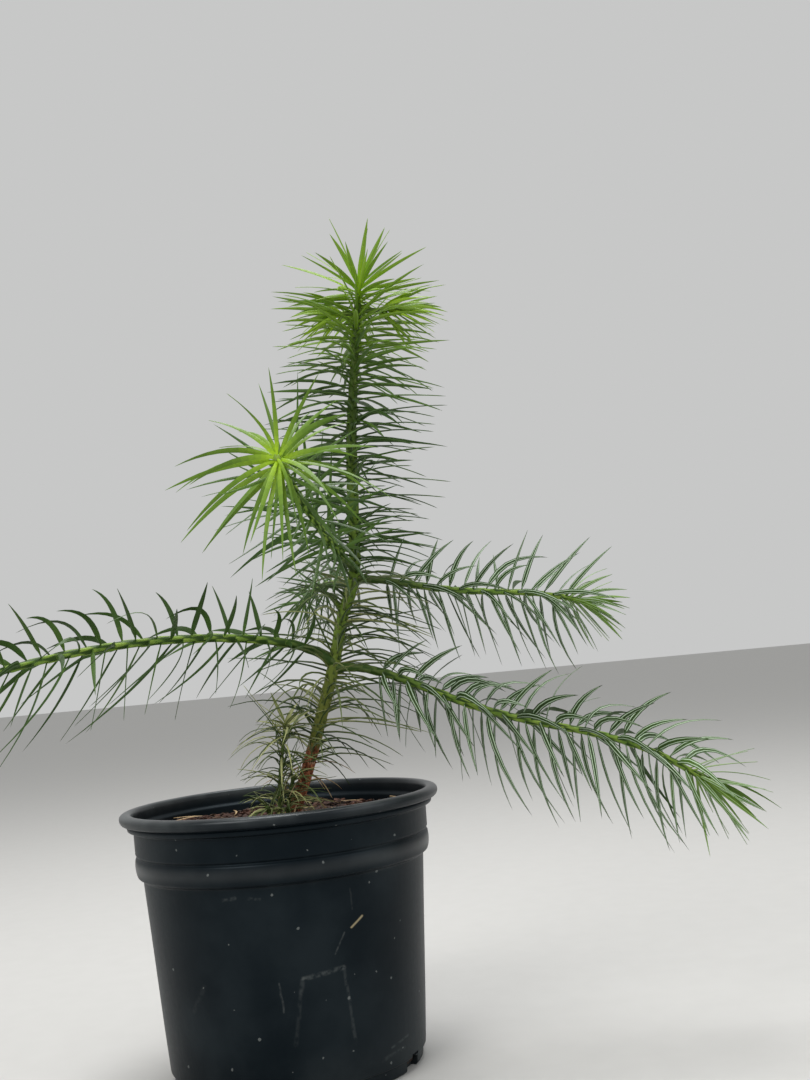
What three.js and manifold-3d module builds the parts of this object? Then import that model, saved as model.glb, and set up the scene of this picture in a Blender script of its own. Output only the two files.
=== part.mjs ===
// A China fir sapling in a black nursery pot, in millimetres, +Z up.
// The origin is the centre of the pot's flat underside.
// Seen from the plant's front, +X is to the right and +Y is away.
import * as THREE from "three";
import { mergeVertices } from "three/addons/utils/BufferGeometryUtils.js";
import Module from "manifold-3d";

const wasm = await Module();
wasm.setup();

// Driving dimensions
const POT_HEIGHT = 135;
const LIP_RADIUS = 82.5; // the widest point of the rolled rim
const POT_WALL = 1.6;
const POT_FLOOR = 2;
const SOIL_TOP = POT_HEIGHT - 12.5;
const GAP = 0.3; // between solids that meet
const SHEATH = 0.7; // thickness of the sheath of leaf bases round the trunk
const NEEDLE_LENGTH = 45;
const NEEDLE_WIDTH = 2.6;
const NEEDLE_THICK = 0.75;
const NEEDLE_BEND = 0.42; // the share of a needle's length where it is widest and bends
const ROOT_WIDTH = 0.26; // the width of a needle's root, as a share of its widest width
const GOLDEN_ANGLE = Math.PI * (3 - Math.sqrt(5));
const MERGE_DISTANCE = 1e-4;

const { degToRad, lerp, smoothstep } = THREE.MathUtils;
const TO_RIGHT = new THREE.Vector3(1, 0, 0);
const UP = new THREE.Vector3(0, 0, 1);

// Colour and roughness of each kind of surface
const SURFACES = {
  pot: [0x15181b, 0.5],
  soil: [0x2e1a12, 0.95],
  bark: [0x6f4527, 0.85],
  greenStem: [0x56742a, 0.7],
  oldNeedles: [0x35492a, 0.6],
  needles: [0x2b5230, 0.5],
  youngNeedles: [0x74a83a, 0.5],
};

const plant = new THREE.Group();

function addNode(name, solid, surface) {
  const [color, roughness] = SURFACES[surface];
  const material = new THREE.MeshStandardMaterial({ color, roughness, metalness: 0 });
  const mesh = new THREE.Mesh(toGeometry(solid), material);
  mesh.name = name;
  plant.add(mesh);
}

// Seeded random numbers from 0 to 1
function randomFrom(seed) {
  let state = seed >>> 0;
  return () => {
    state = (state + 0x6d2b79f5) >>> 0;
    let t = Math.imul(state ^ (state >>> 15), 1 | state);
    t = (t + Math.imul(t ^ (t >>> 7), 61 | t)) ^ t;
    return ((t ^ (t >>> 14)) >>> 0) / 2 ** 32;
  };
}

// A unit vector from a compass heading and a rise above the level, both in degrees
function pointing(heading, rise) {
  const level = Math.cos(degToRad(rise));
  return new THREE.Vector3(
    level * Math.cos(degToRad(heading)),
    level * Math.sin(degToRad(heading)),
    Math.sin(degToRad(rise)),
  );
}

// Closed solids

function toSolid(geometry) {
  const bare = geometry.clone();
  bare.deleteAttribute("normal");
  bare.deleteAttribute("uv");
  const merged = mergeVertices(bare, MERGE_DISTANCE);
  const mesh = new wasm.Mesh({
    numProp: 3,
    vertProperties: merged.attributes.position.array,
    triVerts: new Uint32Array(merged.index.array),
  });
  return new wasm.Manifold(mesh);
}

function toGeometry(solid) {
  const mesh = solid.getMesh();
  const positions = new Float32Array(mesh.numVert * 3);
  for (let i = 0; i < mesh.numVert; i++) {
    const at = i * mesh.numProp;
    positions.set(mesh.vertProperties.subarray(at, at + 3), i * 3);
  }
  const geometry = new THREE.BufferGeometry();
  geometry.setAttribute("position", new THREE.BufferAttribute(positions, 3));
  geometry.setIndex(new THREE.BufferAttribute(mesh.triVerts, 1));
  return geometry;
}

function fromPoints(points, faces) {
  const geometry = new THREE.BufferGeometry();
  const positions = points.flatMap((p) => [p.x, p.y, p.z]);
  geometry.setAttribute("position", new THREE.Float32BufferAttribute(positions, 3));
  geometry.setIndex(faces);
  return toSolid(geometry);
}

// Joins rings of points, each with the same number of points, into walls
function ringWalls(rings) {
  const sides = rings[0].length;
  const faces = [];
  for (let k = 0; k + 1 < rings.length; k++) {
    for (let i = 0; i < sides; i++) {
      const j = (i + 1) % sides;
      const [a, b] = [k * sides + i, k * sides + j];
      faces.push(a, b, b + sides, a, b + sides, a + sides);
    }
  }
  return faces;
}

// A solid with a flat end at its first and last ring
function loft(rings) {
  const sides = rings[0].length;
  const last = (rings.length - 1) * sides;
  const faces = ringWalls(rings);
  for (let i = 1; i + 1 < sides; i++) {
    faces.push(0, i + 1, i, last, last + i, last + i + 1);
  }
  return fromPoints(rings.flat(), faces);
}

// A hollow sleeve between outer and inner rings
function sleeve(outer, inner) {
  const closed = [...outer, ...[...inner].reverse(), outer[0]];
  const count = (closed.length - 1) * outer[0].length;
  const faces = ringWalls(closed).map((index) => index % count);
  return fromPoints(closed.slice(0, -1).flat(), faces);
}

// The pot: a lathed wall with a rolled rim, two grooved bands and a foot that is stepped in

const POT_SIDES = 32;
const RIM_INNER = LIP_RADIUS - 6.4;
const GROOVE_HIGH_Z = POT_HEIGHT - 22;
const GROOVE_LOW_Z = POT_HEIGHT - 33;
const BAND_RADIUS = 75.6;
const WALL_TOP_RADIUS = 72.2;
const WALL_FOOT_RADIUS = 65;
const FOOT_HEIGHT = 6.5;
const FOOT_RADIUS = 63.2;
const DRAIN_HOLES = 6;
const DRAIN_WIDTH = 13;
const DRAIN_HEIGHT = 8;
const DRAIN_DEPTH = 14;

function potInside() {
  const foot = FOOT_RADIUS - POT_WALL - 0.4;
  return [
    [BAND_RADIUS - POT_WALL, POT_HEIGHT - 8.8],
    [BAND_RADIUS - POT_WALL - 0.6, GROOVE_LOW_Z + 3],
    [WALL_TOP_RADIUS - POT_WALL, GROOVE_LOW_Z],
    [foot, FOOT_HEIGHT],
    [foot, POT_FLOOR],
  ];
}

function makePot() {
  const top = POT_HEIGHT;
  const foot = [
    [0, 0],
    [FOOT_RADIUS - 0.8, 0],
    [FOOT_RADIUS, 1],
    [FOOT_RADIUS + 0.2, FOOT_HEIGHT - 0.6],
    [WALL_FOOT_RADIUS, FOOT_HEIGHT],
  ];
  const bands = [
    [WALL_TOP_RADIUS, GROOVE_LOW_Z - 0.6],
    [BAND_RADIUS - 0.9, GROOVE_LOW_Z + 0.9],
    [BAND_RADIUS - 0.1, GROOVE_LOW_Z + 3.5],
    [BAND_RADIUS - 0.2, GROOVE_HIGH_Z - 1],
    [BAND_RADIUS - 1.2, GROOVE_HIGH_Z],
    [BAND_RADIUS - 0.2, GROOVE_HIGH_Z + 1],
    [BAND_RADIUS, top - 9.5],
  ];
  const rim = [
    [LIP_RADIUS - 4, top - 8.6],
    [LIP_RADIUS - 3.6, top - 6.4],
    [LIP_RADIUS - 0.9, top - 5.4],
    [LIP_RADIUS, top - 2.8],
    [LIP_RADIUS - 1.3, top - 0.7],
    [LIP_RADIUS - 3.3, top],
    [RIM_INNER + 1.2, top - 0.3],
    [RIM_INNER, top - 1.6],
    [RIM_INNER - 0.2, top - 7.4],
  ];
  const profile = [...foot, ...bands, ...rim, ...potInside(), [0, POT_FLOOR]];
  const turned = new THREE.LatheGeometry(
    profile.map(([r, z]) => new THREE.Vector2(r, z)),
    POT_SIDES,
  );
  let pot = toSolid(turned.rotateX(Math.PI / 2));
  for (let k = 0; k < DRAIN_HOLES; k++) {
    const hole = new THREE.BoxGeometry(DRAIN_DEPTH, DRAIN_WIDTH, 2 * DRAIN_HEIGHT)
      .translate(FOOT_RADIUS + 3, 0, 0)
      .rotateZ(((k + 0.5) * 2 * Math.PI) / DRAIN_HOLES);
    pot = pot.subtract(toSolid(hole));
  }
  addNode("pot", pot, "pot");
}

// The potting mix fills the pot to an uneven top, flat where the stems stand on it

const SOIL_SIDES = 32;
const SOIL_BUMP = 1.6;
const SOIL_FLAT_RADIUS = 22;
const SOIL_TOP_RINGS = [BAND_RADIUS - POT_WALL - 0.6, 52, 31]; // radii of the uneven top's rings

function makeSoil() {
  const ringAt = (radius, heightAt) =>
    Array.from({ length: SOIL_SIDES }, (_, i) => {
      const a = (i * 2 * Math.PI) / SOIL_SIDES;
      return new THREE.Vector3(radius * Math.cos(a), radius * Math.sin(a), heightAt(a));
    });
  const wall = potInside()
    .reverse()
    .filter(([, z]) => z < SOIL_TOP - SOIL_BUMP)
    .map(([r, z]) => ringAt(r - GAP, () => Math.max(z, POT_FLOOR + GAP)));
  const uneven = SOIL_TOP_RINGS.map((r) =>
    ringAt(r - GAP, (a) => SOIL_TOP + SOIL_BUMP * Math.sin(3 * a + r * 0.11) * Math.sin(2 * a - r * 0.07)),
  );
  const flat = ringAt(SOIL_FLAT_RADIUS, () => SOIL_TOP);
  addNode("potting_mix", loft([...wall, ...uneven, flat]), "soil");
}

// A stem is a smooth line with a radius at each distance along it
class Stem {
  constructor(points, radiusAt) {
    this.curve = new THREE.CatmullRomCurve3(points, false, "centripetal");
    this.curve.arcLengthDivisions = 400;
    this.length = this.curve.getLength();
    this.radiusAt = radiusAt;
  }
  share(s) {
    return Math.min(1, Math.max(0, s / this.length));
  }
  at(s) {
    return this.curve.getPointAt(this.share(s));
  }
  along(s) {
    return this.curve.getTangentAt(this.share(s));
  }
  // Two directions across the stem, the first one as near as can be to the given one
  across(s, near) {
    const along = this.along(s);
    const first = near.clone().addScaledVector(along, -near.dot(along)).normalize();
    return [first, new THREE.Vector3().crossVectors(along, first)];
  }
  // The direction across the stem at a turn round it
  outwards(s, near, turn) {
    const [first, second] = this.across(s, near);
    return first.multiplyScalar(Math.cos(turn)).addScaledVector(second, Math.sin(turn));
  }
  ring(s, sides, near, grow = 0) {
    return Array.from({ length: sides }, (_, i) => {
      const out = this.outwards(s, near, ((i + 0.5) * 2 * Math.PI) / sides);
      return this.at(s).addScaledVector(out, this.radiusAt(s) + grow);
    });
  }
  rings(from, to, step, sides, near, grow = 0) {
    const count = Math.max(1, Math.round((to - from) / step));
    return Array.from({ length: count + 1 }, (_, k) =>
      this.ring(from + ((to - from) * k) / count, sides, near, grow),
    );
  }
}

// Straight runs of every limb and needle so far, so that nothing of another node comes near them

const placedRuns = [];
const RUN_STEP = 6;

// The least distance between the runs p1 to q1 and p2 to q2
function distanceBetween(p1, q1, p2, q2) {
  const clamp = (x) => Math.min(1, Math.max(0, x));
  const d1 = q1.clone().sub(p1);
  const d2 = q2.clone().sub(p2);
  const between = p1.clone().sub(p2);
  const [a, b, c] = [d1.lengthSq(), d1.dot(d2), d1.dot(between)];
  const [e, f] = [d2.lengthSq(), d2.dot(between)];
  const spread = a * e - b * b;
  let s = spread > 1e-9 ? clamp((b * f - c * e) / spread) : 0;
  let t = (b * s + f) / e;
  if (t < 0) {
    t = 0;
    s = clamp(-c / a);
  } else if (t > 1) {
    t = 1;
    s = clamp((b - c) / a);
  }
  return p1.clone().addScaledVector(d1, s).distanceTo(p2.clone().addScaledVector(d2, t));
}

function runsOf(points, radius, node) {
  return points.slice(1).map((to, k) => {
    const from = points[k];
    const middle = from.clone().add(to).multiplyScalar(0.5);
    return { from, to, middle, half: from.distanceTo(to) / 2, radius, node };
  });
}

function runsMeet(one, other) {
  const room = one.radius + other.radius + GAP;
  if (one.middle.distanceTo(other.middle) > one.half + other.half + room) return false;
  return distanceBetween(one.from, one.to, other.from, other.to) < room;
}

function runsClear(runs, passed) {
  const others = placedRuns.filter((other) => !passed.includes(other.node));
  return !runs.some((run) => others.some((other) => runsMeet(run, other)));
}

function placeStem(stem, from, to, node) {
  const count = Math.ceil((to - from) / RUN_STEP);
  for (let k = 0; k < count; k++) {
    const a = from + ((to - from) * k) / count;
    const b = from + ((to - from) * (k + 1)) / count;
    placedRuns.push(...runsOf([stem.at(a), stem.at(b)], stem.radiusAt(a), node));
  }
}

function staysOutOfPot(p) {
  const radius = Math.hypot(p.x, p.y);
  const floor = radius > RIM_INNER - 5 ? POT_HEIGHT : SOIL_TOP + SOIL_BUMP;
  return radius > LIP_RADIUS + 3 || p.z > floor + 2;
}

// Needles

// One needle leaves its stem at an angle, and at its bend turns down by droop and on by sweep
function needleLine(stem, s, turn, rule, length) {
  const out = stem.outwards(s, rule.near, turn);
  const along = stem.along(s);
  const angle = degToRad(rule.angleAt(s, out));
  const first = along.clone().multiplyScalar(Math.cos(angle)).addScaledVector(out, Math.sin(angle));
  const second = first
    .clone()
    .addScaledVector(UP, -rule.droopAt(s, out))
    .addScaledVector(along, rule.sweep)
    .normalize();
  const root = stem.at(s).addScaledVector(out, rule.rootAt(s));
  const bend = root.clone().addScaledVector(first, length * NEEDLE_BEND);
  const tip = bend.clone().addScaledVector(second, length * (1 - NEEDLE_BEND));
  return { points: [root, bend, tip], side: new THREE.Vector3().crossVectors(along, out) };
}

// A three-sided blade, flat below and ridged above, from a narrow root to a pointed tip
function needleBlade({ points, side }, width) {
  const [root, bend, tip] = points;
  const section = (centre, direction, w) => {
    const across = side.clone().addScaledVector(direction, -side.dot(direction)).normalize();
    const ridge = new THREE.Vector3().crossVectors(direction, across).normalize();
    const corner = (wide, high) => centre.clone().addScaledVector(across, wide).addScaledVector(ridge, high);
    const low = -NEEDLE_THICK / 3;
    return [corner(w / 2, low), corner(0, NEEDLE_THICK + low), corner(-w / 2, low)];
  };
  const first = bend.clone().sub(root).normalize();
  const second = tip.clone().sub(bend).normalize();
  const middle = first.clone().add(second).normalize();
  const rings = [section(root, first, width * ROOT_WIDTH), section(bend, middle, width)];
  const faces = [0, 2, 1, ...ringWalls(rings), 3, 4, 6, 4, 5, 6, 5, 3, 6];
  return fromPoints([...rings.flat(), tip], faces);
}

const TURNS_TRIED = [0, 0.35, -0.35, 0.8, -0.8];

// Needles in a spiral along a stem, fused to the core that carries them
// A needle with no clear way at its own turn or beside it is skipped
function withNeedles(core, node, stem, rule) {
  const random = randomFrom(rule.seed);
  const passed = [node, ...(rule.passes ?? [])];
  const blades = [core];
  let turn = random() * 2 * Math.PI;
  for (let s = rule.start; s <= rule.end; s += rule.every) {
    turn += GOLDEN_ANGLE;
    const length = NEEDLE_LENGTH * rule.lengthAt(s) * lerp(0.9, 1.1, random());
    const nudge = lerp(-0.15, 0.15, random());
    for (const shift of TURNS_TRIED) {
      const line = needleLine(stem, s, turn + nudge + shift, rule, length);
      const runs = runsOf(line.points, NEEDLE_WIDTH / 2, node);
      if (line.points.every(staysOutOfPot) && runsClear(runs, passed)) {
        placedRuns.push(...runs);
        blades.push(needleBlade(line, NEEDLE_WIDTH * rule.width));
        break;
      }
    }
  }
  return wasm.Manifold.union(blades);
}

// The trunk leans to the right up to its second whorl of boughs and is nearly upright above it

const TRUNK_SIDES = 7;
const TRUNK_STEP = 8;
const FOOT_GIRTH = 3.1; // the trunk's radius above its flare
const FLARE = 1.6;
const MIDDLE_GIRTH = 2.7;
const TIP_GIRTH = 1.5;
const TRUNK_LINE = [
  [5, 0, SOIL_TOP + GAP],
  [13, 0, 141],
  [22.5, 0, 167],
  [34, 0, 201],
  [40.5, 1, 225],
  [48.5, 1.5, 246],
  [51.5, 2, 285],
  [54, 1, 325],
  [59.5, 0, 368],
  [63.6, 0, 396],
].map((p) => new THREE.Vector3(...p));

const trunk = new Stem(TRUNK_LINE, (s) => {
  const t = trunk.share(s);
  const lower = lerp(FOOT_GIRTH, MIDDLE_GIRTH, Math.min(1, t / 0.35));
  const thinned = smoothstep(t, 0.6, 1) * (MIDDLE_GIRTH - TIP_GIRTH);
  return lower - thinned + FLARE * Math.exp(-s / 3);
});

function trunkAtHeight(z) {
  let [low, high] = [0, trunk.length];
  for (let k = 0; k < 40; k++) {
    const middle = (low + high) / 2;
    if (trunk.at(middle).z < z) low = middle;
    else high = middle;
  }
  return low;
}

// Stretches of the trunk with needles, by height. The whorls of boughs come between them.
const STRETCHES = {
  foot: { from: 166, to: 194, every: 1.5, length: 0.95, angle: 62, droop: 1.15, surface: "oldNeedles" },
  low: { from: 210, to: 237, every: 1.25, length: 0.92, angle: 66, droop: 0.95, surface: "oldNeedles" },
  mid: { from: 258, to: 296, every: 1.15, length: 1, angle: 78, droop: 0.3, surface: "needles" },
  high: { from: 297, to: 340, every: 1.2, length: 1.06, angle: 77, droop: 0.3, surface: "needles" },
  top: { from: 341, to: 386, every: 1.05, length: 1.05, angle: 76, droop: 0.4, surface: "youngNeedles" },
};
Object.values(STRETCHES).forEach((stretch) => {
  stretch.start = Math.round(trunkAtHeight(stretch.from));
  stretch.end = Math.round(trunkAtHeight(stretch.to));
});

// The trunk is slimmer where a sheath goes round it, by the sheath and the gap
function makeTrunk() {
  const slim = -SHEATH - GAP;
  const stretches = Object.values(STRETCHES);
  const ledges = stretches.flatMap(({ start, end }) => [
    [start - GAP - 0.2, 0],
    [start - GAP, slim],
    [end + GAP, slim],
    [end + GAP + 0.2, 0],
  ]);
  const stations = [...ledges, [trunk.length, 0]];
  for (let s = 0; s < trunk.length - 1; s += TRUNK_STEP) {
    const covered = stretches.some(({ start, end }) => s > start && s < end);
    if (ledges.every(([ledge]) => Math.abs(ledge - s) > 1)) stations.push([s, covered ? slim : 0]);
  }
  stations.sort((a, b) => a[0] - b[0]);
  const rings = stations.map(([s, grow]) => trunk.ring(s, TRUNK_SIDES, TO_RIGHT, grow));
  // the cut at the soil is level
  rings[0].forEach((p) => (p.z = SOIL_TOP + GAP));
  addNode("trunk", loft(rings), "bark");
}

function makeTrunkNeedles(name, stretch, seed) {
  const { start, end } = stretch;
  const outer = trunk.rings(start, end, TRUNK_STEP, TRUNK_SIDES, TO_RIGHT);
  const inner = trunk.rings(start, end, TRUNK_STEP, TRUNK_SIDES, TO_RIGHT, -SHEATH);
  const node = "needles_trunk_" + name;
  const rule = {
    seed,
    near: TO_RIGHT,
    passes: ["trunk"],
    start: start + 1,
    end: end - 1,
    every: stretch.every,
    width: 1,
    sweep: 0.1,
    rootAt: (s) => trunk.radiusAt(s) - SHEATH * 0.75,
    lengthAt: () => stretch.length,
    angleAt: () => stretch.angle,
    droopAt: () => stretch.droop,
  };
  addNode(node, withNeedles(sleeve(outer, inner), node, trunk, rule), stretch.surface);
}

// The tuft at the tip of the leader, where the needles close in on the bud

const TUFT_LENGTH = 13;

function makeLeaderTip() {
  const direction = trunk.along(trunk.length);
  const foot = trunk.at(trunk.length).addScaledVector(direction, GAP);
  const bud = foot.clone().addScaledVector(direction, TUFT_LENGTH);
  const stem = new Stem([foot, bud], (s) => TIP_GIRTH * (1 - (0.5 * s) / TUFT_LENGTH));
  const node = "needles_leader_tip";
  placeStem(stem, 0, TUFT_LENGTH, node);
  const rule = {
    seed: 71,
    near: TO_RIGHT,
    start: 0.6,
    end: TUFT_LENGTH - 0.6,
    every: 0.42,
    width: 0.9,
    sweep: 0.1,
    rootAt: () => 0.3,
    lengthAt: (s) => lerp(1.02, 0.77, s / TUFT_LENGTH),
    angleAt: (s) => lerp(84, 8, (s / TUFT_LENGTH) ** 1.5),
    droopAt: (s) => lerp(0.5, 0, s / TUFT_LENGTH),
  };
  const core = loft(stem.rings(0, TUFT_LENGTH, TUFT_LENGTH, 6, TO_RIGHT));
  addNode(node, withNeedles(core, node, stem, rule), "youngNeedles");
}

// Boughs: each leaves the trunk at a height and heading and has a bare foot, then a mass of needles
// rise is its slope in degrees at the foot and at the tip, lift is added near the foot, and wave bends it down and up

const BOUGH_STEP = 13;
const BOUGH_SIDES = 6;
const TWIG_SIDES = 4;
const BOUGH_FLARE = 0.7;
const WAVE_LENGTH = 0.84; // as a share of the bough
const CLOSING_LENGTH = 14; // the stretch before a bough's tip where its needles close in
const BOUGHS = {
  left: { height: 201.5, heading: 208, length: 222, rise: [13, -18], lift: 32, wave: 0, girth: [2.3, 1.5] },
  right_low: { height: 199, heading: -12, length: 206, rise: [-14, -31], lift: 21, wave: 9, girth: [2.2, 1.4] },
  right_high: { height: 246, heading: 8, length: 134, rise: [-6, -13], lift: 0, wave: 5, girth: [2, 1.3] },
  front: { height: 251, heading: 255, length: 158, rise: [7, 21], lift: 0, wave: 0, girth: [2.1, 1.4] },
  back: { height: 241.5, heading: 99, length: 146, rise: [10, -10], lift: 0, wave: 0, girth: [2, 1.3] },
};
// The bare length at each bough's foot, and the rule of the needles beyond it
const BOUGH_NEEDLES = {
  left: { bare: 14, every: 2.3, length: 0.9, angle: 58, closing: 42, sweep: 0.35, droop: 0.35 },
  right_low: { bare: 24, every: 2.25, length: 0.9, angle: 60, closing: 42, sweep: 0.45, droop: 0.35 },
  right_high: { bare: 14, every: 2.15, length: 0.92, angle: 62, closing: 42, sweep: 0.4, droop: 0.3 },
  front: { bare: 16, every: 2.35, length: 0.95, angle: 76, closing: 22, sweep: 0.1, droop: 0.2 },
  back: { bare: 18, every: 2.9, length: 0.88, angle: 60, closing: 42, sweep: 0.35, droop: 0.35 },
};

function boughStem({ height, heading, length, rise, lift, wave, girth }) {
  const points = [trunk.at(trunkAtHeight(height))];
  const count = Math.ceil(length / BOUGH_STEP);
  for (let k = 0; k < count; k++) {
    const t = (k + 0.5) / count;
    const slope = lerp(...rise, t) + lift * Math.exp(-t / 0.07) - wave * Math.sin((2 * Math.PI * t) / WAVE_LENGTH);
    points.push(points[k].clone().addScaledVector(pointing(heading, slope), length / count));
  }
  return new Stem(points, (s) => lerp(...girth, Math.min(1, s / length)) + BOUGH_FLARE * Math.exp(-s / 4));
}

for (const [name, bough] of Object.entries(BOUGHS)) {
  const atTrunk = trunk.radiusAt(trunkAtHeight(bough.height)) + GAP;
  bough.stem = boughStem(bough);
  bough.limbEnd = atTrunk + BOUGH_NEEDLES[name].bare;
  placeStem(bough.stem, atTrunk, bough.limbEnd, "bough_" + name);
  placeStem(bough.stem, bough.limbEnd, bough.stem.length, "needles_" + name);
}
placeStem(trunk, 0, trunk.length, "trunk");

// Cuts a limb's foot to the trunk's outline, grown by the gap
function footed(limb, height) {
  const grow = GAP / Math.cos(Math.PI / TRUNK_SIDES);
  const s = trunkAtHeight(height);
  const from = Math.max(0, s - 3 * TRUNK_STEP);
  const to = Math.min(trunk.length, s + 3 * TRUNK_STEP);
  return limb.subtract(loft(trunk.rings(from, to, TRUNK_STEP / 2, TRUNK_SIDES, TO_RIGHT, grow)));
}

function makeBough(name, seed) {
  const { stem, limbEnd, height } = BOUGHS[name];
  const needles = BOUGH_NEEDLES[name];
  const limb = loft(stem.rings(0.7, limbEnd - GAP, BOUGH_STEP / 2, BOUGH_SIDES, UP));
  addNode("bough_" + name, footed(limb, height), "greenStem");
  const tip = stem.length;
  const node = "needles_" + name;
  const rule = {
    seed,
    near: UP,
    start: limbEnd + 1.5,
    end: tip - 0.6,
    every: needles.every,
    width: 1,
    sweep: needles.sweep,
    rootAt: (s) => stem.radiusAt(s) * 0.25,
    // needles are shorter where the bough's growth began
    lengthAt: (s) => needles.length * lerp(0.78, 1.08, smoothstep(s / tip, 0, 0.55)),
    angleAt: (s, out) => {
      const closed = Math.max(0, (s - tip) / CLOSING_LENGTH + 1);
      return needles.angle + 8 * Math.max(0, -out.z) - needles.closing * closed;
    },
    droopAt: (s, out) => needles.droop * (0.5 + Math.max(0, -out.z)),
  };
  const core = loft(stem.rings(limbEnd, tip, BOUGH_STEP, TWIG_SIDES, UP));
  const surface = name === "front" ? "youngNeedles" : "needles";
  addNode(node, withNeedles(core, node, stem, rule), surface);
}

// New shoots just under the leader's tuft: a short stem of its own with a few young needles

const SHOOT_GIRTH = 1.25;
const SHOOTS = {
  left: { height: 391, heading: 186, rise: -4, length: 15 },
  right: { height: 391.5, heading: -8, rise: -2, length: 24 },
  back: { height: 392, heading: 92, rise: 2, length: 16 },
};

function makeShoot(name, { height, heading, rise, length }, seed) {
  const s0 = trunkAtHeight(height);
  const foot = trunk.at(s0);
  const reach = length + trunk.radiusAt(s0);
  const tip = foot.clone().addScaledVector(pointing(heading, rise), reach);
  const stem = new Stem([foot, tip], (s) => SHOOT_GIRTH - (0.3 * s) / reach);
  const node = "shoot_top_" + name;
  placeStem(stem, trunk.radiusAt(s0) + GAP, reach, node);
  const rule = {
    seed,
    near: UP,
    start: reach * 0.45,
    end: reach - 0.5,
    every: 1.05,
    width: 0.8,
    sweep: 0.3,
    rootAt: () => 0.3,
    lengthAt: () => 0.62,
    angleAt: (s) => lerp(66, 20, s / reach),
    droopAt: () => 0.2,
  };
  const core = footed(loft(stem.rings(0, reach, reach, TWIG_SIDES, UP)), height);
  addNode(node, withNeedles(core, node, stem, rule), "youngNeedles");
}

// The sprout beside the trunk's foot

const SPROUT_GIRTH = 1.5;
const SPROUT_LINE = [
  [-1, -11, SOIL_TOP + GAP],
  [1, -13, SOIL_TOP + 24],
  [5, -16, SOIL_TOP + 50],
].map((p) => new THREE.Vector3(...p));

function makeSprout() {
  const stem = new Stem(SPROUT_LINE, (s) => SPROUT_GIRTH - s * 0.008);
  const node = "basal_sprout";
  placeStem(stem, 0, stem.length, node);
  const rings = stem.rings(0, stem.length, 12, TWIG_SIDES, TO_RIGHT);
  rings[0].forEach((p) => (p.z = SOIL_TOP + GAP));
  const rule = {
    seed: 95,
    near: TO_RIGHT,
    start: 12,
    end: stem.length - 0.6,
    every: 1.6,
    width: 0.7,
    sweep: 0.2,
    rootAt: () => 0.4,
    lengthAt: () => 0.55,
    angleAt: (s) => lerp(66, 32, smoothstep(stem.share(s), 0.75, 1)),
    droopAt: () => 0.6,
  };
  addNode(node, withNeedles(loft(rings), node, stem, rule), "oldNeedles");
}

makePot();
makeSoil();
makeTrunk();
makeLeaderTip();
Object.entries(SHOOTS).forEach(([name, shoot], k) => makeShoot(name, shoot, 31 + k));
Object.keys(BOUGHS).forEach((name, k) => makeBough(name, 11 + k));
Object.entries(STRETCHES).forEach(([name, stretch], k) => makeTrunkNeedles(name, stretch, 51 + k));
makeSprout();

export default plant;
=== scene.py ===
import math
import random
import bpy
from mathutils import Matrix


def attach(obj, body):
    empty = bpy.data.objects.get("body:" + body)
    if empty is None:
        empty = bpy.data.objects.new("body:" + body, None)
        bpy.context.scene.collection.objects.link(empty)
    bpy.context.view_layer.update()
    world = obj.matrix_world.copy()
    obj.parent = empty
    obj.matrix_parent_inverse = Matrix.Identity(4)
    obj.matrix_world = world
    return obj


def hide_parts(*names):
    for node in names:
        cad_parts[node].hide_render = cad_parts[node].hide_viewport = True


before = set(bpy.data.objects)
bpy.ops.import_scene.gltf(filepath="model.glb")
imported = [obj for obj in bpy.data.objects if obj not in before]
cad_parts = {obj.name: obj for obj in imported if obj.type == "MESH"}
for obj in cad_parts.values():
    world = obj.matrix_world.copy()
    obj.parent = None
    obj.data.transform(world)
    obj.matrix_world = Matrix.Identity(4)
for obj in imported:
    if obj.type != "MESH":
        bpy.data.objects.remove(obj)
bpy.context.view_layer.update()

# A young China fir in a dark nursery pot.
# Each limb and each mass of needles follows the rule that shaped its solid, carried on to real needles.
# Shapes are in millimetres until a piece is finished. Finished pieces and places in a finish are in metres.

from types import SimpleNamespace

import bmesh
import bpy
from mathutils import Matrix, Vector

METRES = 0.001
UP = Vector((0, 0, 1))
TO_RIGHT = Vector((1, 0, 0))
GOLDEN_ANGLE = math.pi * (3 - math.sqrt(5))
FULL_TURN = 2 * math.pi


def mix(a, b, t):
    return a + (b - a) * t


def clamped(x):
    return min(1, max(0, x))


def eased(x, low, high):
    t = clamped((x - low) / (high - low))
    return t * t * (3 - 2 * t)


def table(heads, **rows):
    """Rows of values by name, with each value under its head."""
    return {name: SimpleNamespace(**dict(zip(heads.split(), row))) for name, row in rows.items()}


# Node trees, written as expressions


def is_vector(value):
    if isinstance(value, Wire):
        return value.socket.type in {"VECTOR", "RGBA"}
    return isinstance(value, (tuple, Vector))


def maths(operation):
    """A method that adds one math node."""
    return lambda wire, *values: wire.math(operation, *values)


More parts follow.
